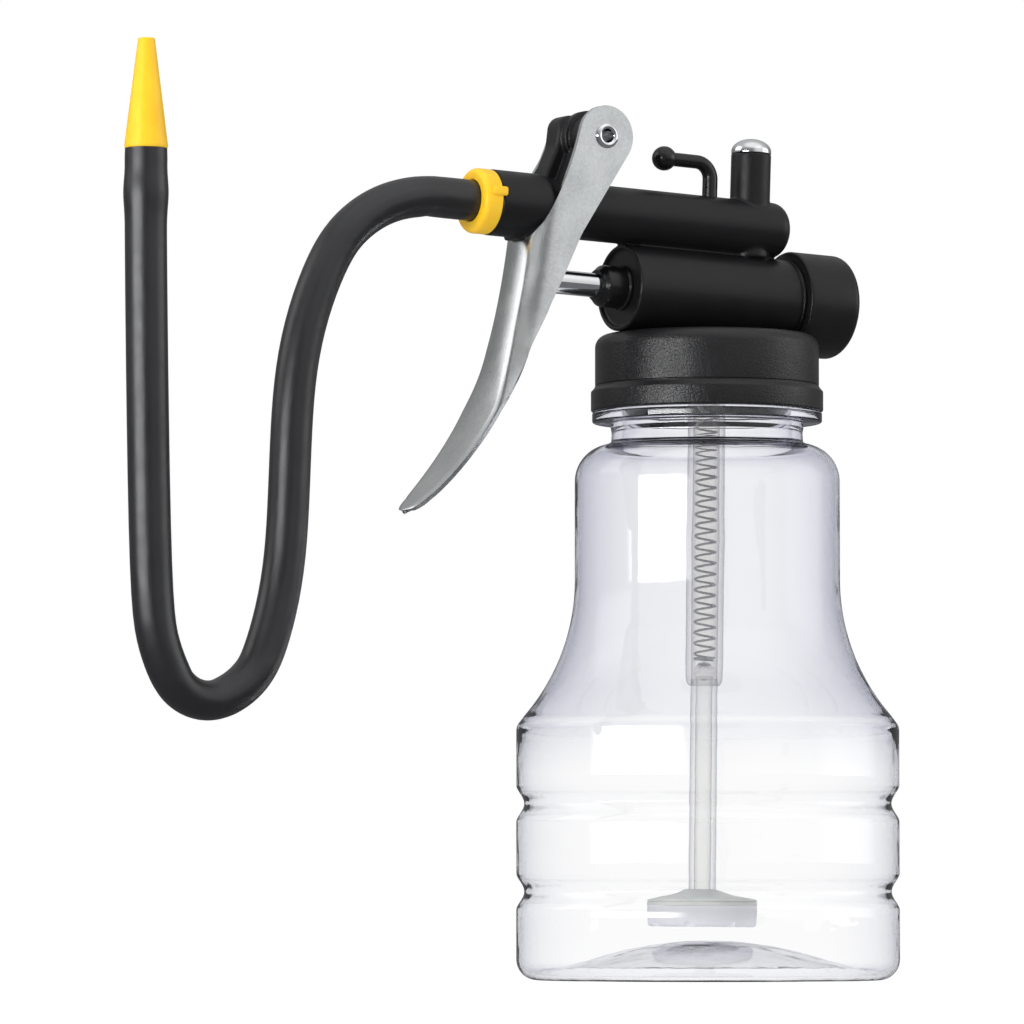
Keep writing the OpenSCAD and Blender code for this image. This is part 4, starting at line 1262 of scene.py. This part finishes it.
# ------------------------------------------------------------------ suction line
SLEEVE = [(3.27, 70.2, 0.1), (3.7, 70.2, 0.25), (4.3, 71.0, 0.5), (4.5, 72.4, 1.2),
          (4.55, 100, 8), (4.72, 106, 6), (4.5, 112, 8), (4.5, 150.5, 0.2), (3.2, 150.5, 0.1),
          (3.2, 112, 8), (3.42, 106, 6), (3.25, 100, 8), (3.2, 76, 2), (3.2, 71.9, 0.05),
          (3.27, 71.82, 0.03)]
DIP_TUBE = [(2.0, 16.4, 0.1), (3.25, 16.4, 0.2), (3.25, 71.8, 0.2), (2.0, 71.8, 0.2)]
STRAINER_R = 13.25
STRAINER_CAP = [(3.27, 17.6, 0.1), (12.15, 17.6, 0.2), (12.15, 17.05, 0.1),
                (STRAINER_R, 17.05, 0.15), (STRAINER_R, 18.42, 0.1), (12.9, 18.52, 0.05),
                (12.9, 18.68, 0.05), (STRAINER_R, 18.78, 0.1), (STRAINER_R, 19.25, 0.3),
                (12.7, 19.65, 0.7), (10, 20.5, 4), (6.5, 21.1, 3), (3.27, 21.4, 0.1)]
STRAINER_CUP = [(9.5, 12.75, 0.2), (13.0, 12.75, 0.8), (STRAINER_R, 16.98, 0.15),
                (12.2, 16.98, 0.1), (12.2, 17.45, 0.1), (11.6, 17.45, 0.1), (11.6, 14.1, 0.3),
                (9.5, 13.95, 0.2)]


def suction_part(name, profile, material, segments, slot, replaced):
    part = lathe(name, fillet(profile, closed=True), material, SUCTION, segments, closed=True,
                 sharp=40)
    place(part, "head", slot, replaced)
    return part


suction_part("sleeve_tube", SLEEVE, SLEEVE_CLEAR, 64, "clear_tube", "suction_sleeve")
suction_part("dip_tube", DIP_TUBE, TUBE_CLEAR, 64, "clear_tube", "suction_tube")
spring("foot_valve_spring", "suction_spring", "suction_ball_lift", DARK_SPRING, SUCTION,
       radius=2.45, wire=0.29, start=76.25, end=150.4, turns=30, travel=2.0, anchor=150.4)
foot_ball = lathe("foot_ball", ball_profile(2.6, 73.5), CHROME, SUCTION, 48)
place(foot_ball, "suction_ball", "chrome_steel", "suction_ball")
suction_part("strainer_top", STRAINER_CAP, GREY_CAP, 96, "grey_plastic", "strainer_cap")
cup = suction_part("strainer_bowl", STRAINER_CUP, MILKY, 96, "milky_plastic", "strainer_cup")
for angle in range(0, 360, 45):     # notches round the cup's lower rim
    notch = shift(STRAINER_R * math.cos(rad(angle)), STRAINER_R * math.sin(rad(angle)), 0)
    boolean(cup, cylinder(1.3, 12.0, 13.9, SUCTION @ notch, 24), 40)

# ------------------------------------------------------------------ hose
HOSE_R, HOSE_BORE_R, HOSE_TOP = 4.87, 2.78, 191.7
# (bend radius, turn in degrees); radius 0 is a straight, with its length in place of the turn
HOSE_BENDS = [(0, 20.04), (30.01, 6.15), (30.86, 56.22), (74.85, 27.35), (0, 32.51),
              (74.92, -20.99), (19.12, -47.15), (10.91, -79.67), (42.07, -28.11)]
LAST_BEND_R = 2499.84       # brings the hose upright


def hose_path():
    """(x, z) points from the socket in the head to the foot of the nozzle."""
    heading = 180 - HEAD_TILT
    rows = [tuple(transform(TUBE, (-56.9, 0, 0))[[0, 2]])]
    for radius, amount in HOSE_BENDS + [(LAST_BEND_R, None)]:
        if amount is None:
            amount = 90 - heading
        x, z = rows[-1]
        if radius == 0:
            steps = max(2, int(amount / 3.0))
            for k in range(1, steps + 1):
                run = amount * k / steps
                rows.append((x + run * math.cos(rad(heading)), z + run * math.sin(rad(heading))))
            continue
        signed = radius * (1 if amount > 0 else -1)
        steps = max(2, int(abs(amount) / 2.5))
        for k in range(1, steps + 1):
            now = heading + amount * k / steps
            rows.append((x + signed * (-math.sin(rad(heading)) + math.sin(rad(now))),
                         z + signed * (math.cos(rad(heading)) - math.cos(rad(now)))))
        heading = now
    x, z = rows[-1]
    path = np.array(rows + [(x, top) for top in np.linspace(z + 2, HOSE_TOP, 30)])
    # Ease the curvature so that reflections flow, keeping both ends.
    for _ in range(14):
        eased = path.copy()
        eased[8:-26] = 0.5 * path[8:-26] + 0.25 * (path[7:-27] + path[9:-25])
        path = eased
    return path


def build_hose(segments=64):
    path = hose_path()
    steps = np.gradient(path, axis=0)
    lengths = np.linalg.norm(steps, axis=1)
    tangent = steps / lengths[:, None]
    heading = np.unwrap(np.arctan2(tangent[:, 1], tangent[:, 0]))
    curvature = np.abs(np.gradient(heading)) / np.maximum(lengths, 1e-6)
    angles = np.linspace(0, 2 * math.pi, segments, endpoint=False)
    outer, inner = [], []
    for (x, z), (tx, tz), bend in zip(path, tangent, curvature):
        # The hose swells over the nozzle's barbed stem.
        swell = 1 + 0.075 * math.exp(-((z - 181.5) / 4.2) ** 2) * (x < -148) \
            + 0.012 * math.exp(-((z - 189.5) / 1.6) ** 2) * (x < -148)
        flat = min(0.05, 0.6 * bend)        # tight bends flatten a little
        in_plane, across = HOSE_R * swell * (1 - flat), HOSE_R * swell * (1 + flat * 0.6)
        if x > -68:                         # stays round next to the collar
            in_plane = across = HOSE_R
        bore = HOSE_BORE_R * swell
        for ring, a, b in ((outer, in_plane, across), (inner, bore, bore)):
            ring.append(np.array((x, 0, z)) + np.outer(a * np.cos(angles), (-tz, 0, tx))
                        + np.outer(b * np.sin(angles), (0, 1, 0)))
    count, m = len(path), segments
    o = count * m       # index of the first point of the bore
    faces = []
    for i in range(count - 1):
        for j in range(m):
            a, b = i * m + j, i * m + (j + 1) % m
            faces += [(a, b, b + m, a + m), (o + a, o + a + m, o + b + m, o + b)]
    for end in (0, count - 1):
        for j in range(m):
            a, b = end * m + j, end * m + (j + 1) % m
            faces.append((a, o + a, o + b, b) if end == 0 else (a, b, o + b, o + a))
    hose = mesh_object("hose_tube", np.vstack(outer + inner), faces, HOSE, sharp=50)
    place(hose, "hose", "black_rubber", "hose")


build_hose()

# ------------------------------------------------------------------ nozzle
NOZZLE = [(1.7, 177.8, 0.1), (2.2, 177.8, 0.2), (2.73, 178.8, 0.2), (2.73, 181.8, 0.1),
          (2.45, 181.8, 0.1), (2.73, 185.3, 0.1), (2.73, 191.72, 0.05), (4.95, 191.72, 0.25),
          (5.05, 192.4, 0.5), (2.02, 216.6, 0.5), (1.9, 217.3, 0.5), (1.25, 217.3, 0.15),
          (1.25, 208, 0.2), (1.7, 190.8, 0.2)]
nozzle_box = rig.box("nozzle")
nozzle_x = (nozzle_box[0].x + nozzle_box[1].x) / 2 * 1000
nozzle = lathe("nozzle_cone", fillet(NOZZLE, closed=True), YELLOW, shift(nozzle_x, 0, 0), 96,
               closed=True, sharp=35)
place(nozzle, "hose", "yellow_plastic", "nozzle")

# ------------------------------------------------------------------ springs inside the head
spring("return_coil", "return_spring", "rod_slide", STEEL, HEAD @ Z_TO_X, radius=5.6, wire=0.62,
       start=-12.45, end=32.95, turns=10, travel=15.4, anchor=33.0, segments=40)
spring("outlet_coil", "outlet_spring", "outlet_ball_lift", STEEL, VALVE, radius=1.9, wire=0.27,
       start=16.6, end=27.95, turns=7, travel=2.0, anchor=28.0)

# ------------------------------------------------------------------ CAD pieces that stay
KEPT = {"lid_gasket": GASKET, "lid_nut": BLACK, "nut_gasket": RUBBER, "vent_valve": RUBBER,
        "rear_cap_seal": RUBBER, "rod_seal": RUBBER, "piston": NYLON, "piston_seal": RUBBER,
        "piston_nut": SHEET, "pivot_washers": SHEET, "outlet_ball": CHROME, "plug_seal": RUBBER,
        "strainer_mesh": STEEL, "hose_barb": BRASS, "barb_seal": RUBBER}
for name, material in KEPT.items():
    obj = CAD_NODES[name]
    if not obj.data.materials:
        obj.data.materials.append(material)
    for slot in obj.material_slots:
        slot.material = material

# ------------------------------------------------------------------ stage, from here in metres
VIEW_AZIMUTH = rad(30.5)        # from +Y towards +X
RIGHT = Vector((math.cos(VIEW_AZIMUTH), -math.sin(VIEW_AZIMUTH), 0))
FORWARD = Vector((math.sin(VIEW_AZIMUTH), math.cos(VIEW_AZIMUTH), 0))
UP = Vector((0, 0, 1))


def view_direction(right, forward, up):
    return (RIGHT * right + FORWARD * forward + UP * up).normalized()


def build_floor():
    """A white glowing plane that reads dark in reflections."""
    mesh = bpy.data.meshes.new("floor")
    mesh.from_pydata([(-6, -6, 0), (6, -6, 0), (6, 6, 0), (-6, 6, 0)], [], [(0, 1, 2, 3)])
    floor = link_object("floor", mesh)
    floor.location.z = -0.0002
    t = material_tree("floor_pale")
    rays = t.node("LightPath").outputs
    glow = t.shader("Emission", Color=(1, 1, 1, 1), Strength=1.02)
    diffuse = t.shader("BsdfDiffuse", Color=(0.9, 0.9, 0.91, 1))
    dark = t.shader("Emission", Color=(0.16, 0.16, 0.17, 1), Strength=1)
    pale = t.mix_shader(0.97, diffuse, glow)
    reflected = t.math("MULTIPLY", rays["Is Glossy Ray"],
                       t.math("SUBTRACT", 1.0, rays["Is Transmission Ray"]))
    mesh.materials.append(t.surface(t.mix_shader(reflected, pale, dark)))
    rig.stage(floor)


def build_world():
    """White to the camera, soft grey light, and shaped patches of light in reflections."""
    world = bpy.data.worlds.new("studio")
    bpy.context.scene.world = world
    t = ShaderTree(world, "OutputWorld")
    rays = t.node("LightPath").outputs
    direction = t.node("TexCoord").outputs["Generated"]
    dir_x, dir_y, dir_z = t.node("SeparateXYZ", {0: direction}).outputs

    def ramp(value, source, target):
        return t.map_range(value, target, source, "SMOOTHERSTEP")

    def lobe(centre, outer, inner, strength):
        """A soft patch, fading between two angles off its direction."""
        dot = t.node("VectorMath", {0: direction, 1: Vector(centre).normalized()},
                     operation="DOT_PRODUCT").outputs["Value"]
        return ramp(dot, (math.cos(rad(outer)), math.cos(rad(inner))), (0.0, strength))

    def strip(azimuth, outer, inner, low, high, strength):
        """A soft upright strip; low and high fade it by the sine of the elevation."""
        a = t.math("MULTIPLY", dir_x, math.cos(rad(azimuth)))
        b = t.math("MULTIPLY", dir_y, math.sin(rad(azimuth)))
        level = t.math("SUBTRACT", 1.0, t.math("MULTIPLY", dir_z, dir_z))
        level = t.math("SQRT", t.math("MAXIMUM", level, 0.0001), 0.0)
        side = ramp(t.math("DIVIDE", t.math("ADD", a, b), level),
                    (math.cos(rad(outer)), math.cos(rad(inner))), (0.0, strength))
        band = t.math("MULTIPLY", ramp(dir_z, low, (0.0, 1.0)), ramp(dir_z, high, (1.0, 0.0)))
        return t.math("MULTIPLY", side, band)

    sky = ramp(dir_z, source=(-0.30, 0.05), target=(0.14, 0.20))
    for patch in (
            ramp(dir_z, source=(0.0, 0.9), target=(0.0, 0.36)),
            lobe((0.507, -0.86, 0.10), outer=62, inner=12, strength=0.55),
            strip(194.5, outer=34, inner=8, low=(-0.8, -0.3), high=(0.07, 0.13), strength=19.0),
            strip(152.0, outer=30, inner=10, low=(0.1, 0.25), high=(0.50, 0.80), strength=1.4),
            lobe(view_direction(0.15, -0.35, 1.0), outer=50, inner=10, strength=0.45),
            lobe(view_direction(0.98, 0.05, 0.1), outer=30, inner=8, strength=1.2)):
        sky = t.math("ADD", sky, patch)
    white = t.shader("Background", Color=(1, 1, 1, 1), Strength=1.0)
    soft = t.shader("Background", Color=(0.97, 0.98, 1.0, 1), Strength=0.45)
    gloss = t.shader("Background", Color=(0.985, 0.99, 1.0, 1), Strength=sky)
    lit = t.mix_shader(rays["Is Glossy Ray"], soft, gloss)
    seen = t.math("MAXIMUM", rays["Is Camera Ray"], rays["Is Transmission Ray"])
    t.surface(t.mix_shader(seen, lit, white))


LIGHT_TARGET = Vector((-0.056, 0, 0.11))
# name, direction (right, forward, up) from the target, distance, width, height, watts
LIGHTS = [("key", (-0.75, -0.75, 0.35), 0.9, 0.35, 0.7, 5.5),
          ("top", (0.0, -0.25, 1.0), 0.9, 0.8, 0.8, 4.5),
          ("rim_right", (0.95, 0.1, 0.35), 0.9, 0.25, 0.7, 1.5),
          ("front_fill", (0.35, -1.0, 0.15), 1.3, 0.5, 0.5, 2.2)]


def aim(obj, direction):
    obj.rotation_mode = "QUATERNION"
    obj.rotation_quaternion = direction.to_track_quat("-Z", "Y")


def build_light(name, direction, distance, width, height, power):
    data = bpy.data.lights.new(name, "AREA")
    data.shape = "RECTANGLE"
    data.size, data.size_y = width, height
    data.energy = power
    light = link_object(name, data)
    outward = view_direction(*direction)
    light.location = LIGHT_TARGET + outward * distance
    aim(light, -outward)
    light.visible_camera = False
    light.visible_transmission = False
    light.visible_glossy = False


def build_camera():
    data = bpy.data.cameras.new("camera")
    camera = link_object("camera", data)
    data.sensor_width = 36
    data.lens = 233.9
    data.clip_start, data.clip_end = 0.05, 20
    camera.location = (-0.852573, -1.354743, 0.019)
    pitch = rad(3.3436)
    aim(camera, FORWARD * math.cos(pitch) + UP * math.sin(pitch))
    bpy.context.scene.camera = camera


build_floor()
build_world()
for light in LIGHTS:
    build_light(*light)
build_camera()
bpy.context.scene.view_settings.view_transform = "Standard"

json.dump({"cad": CAD_BOX, "visual": [list(c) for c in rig.bounds()]},
          open("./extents.json", "w"))
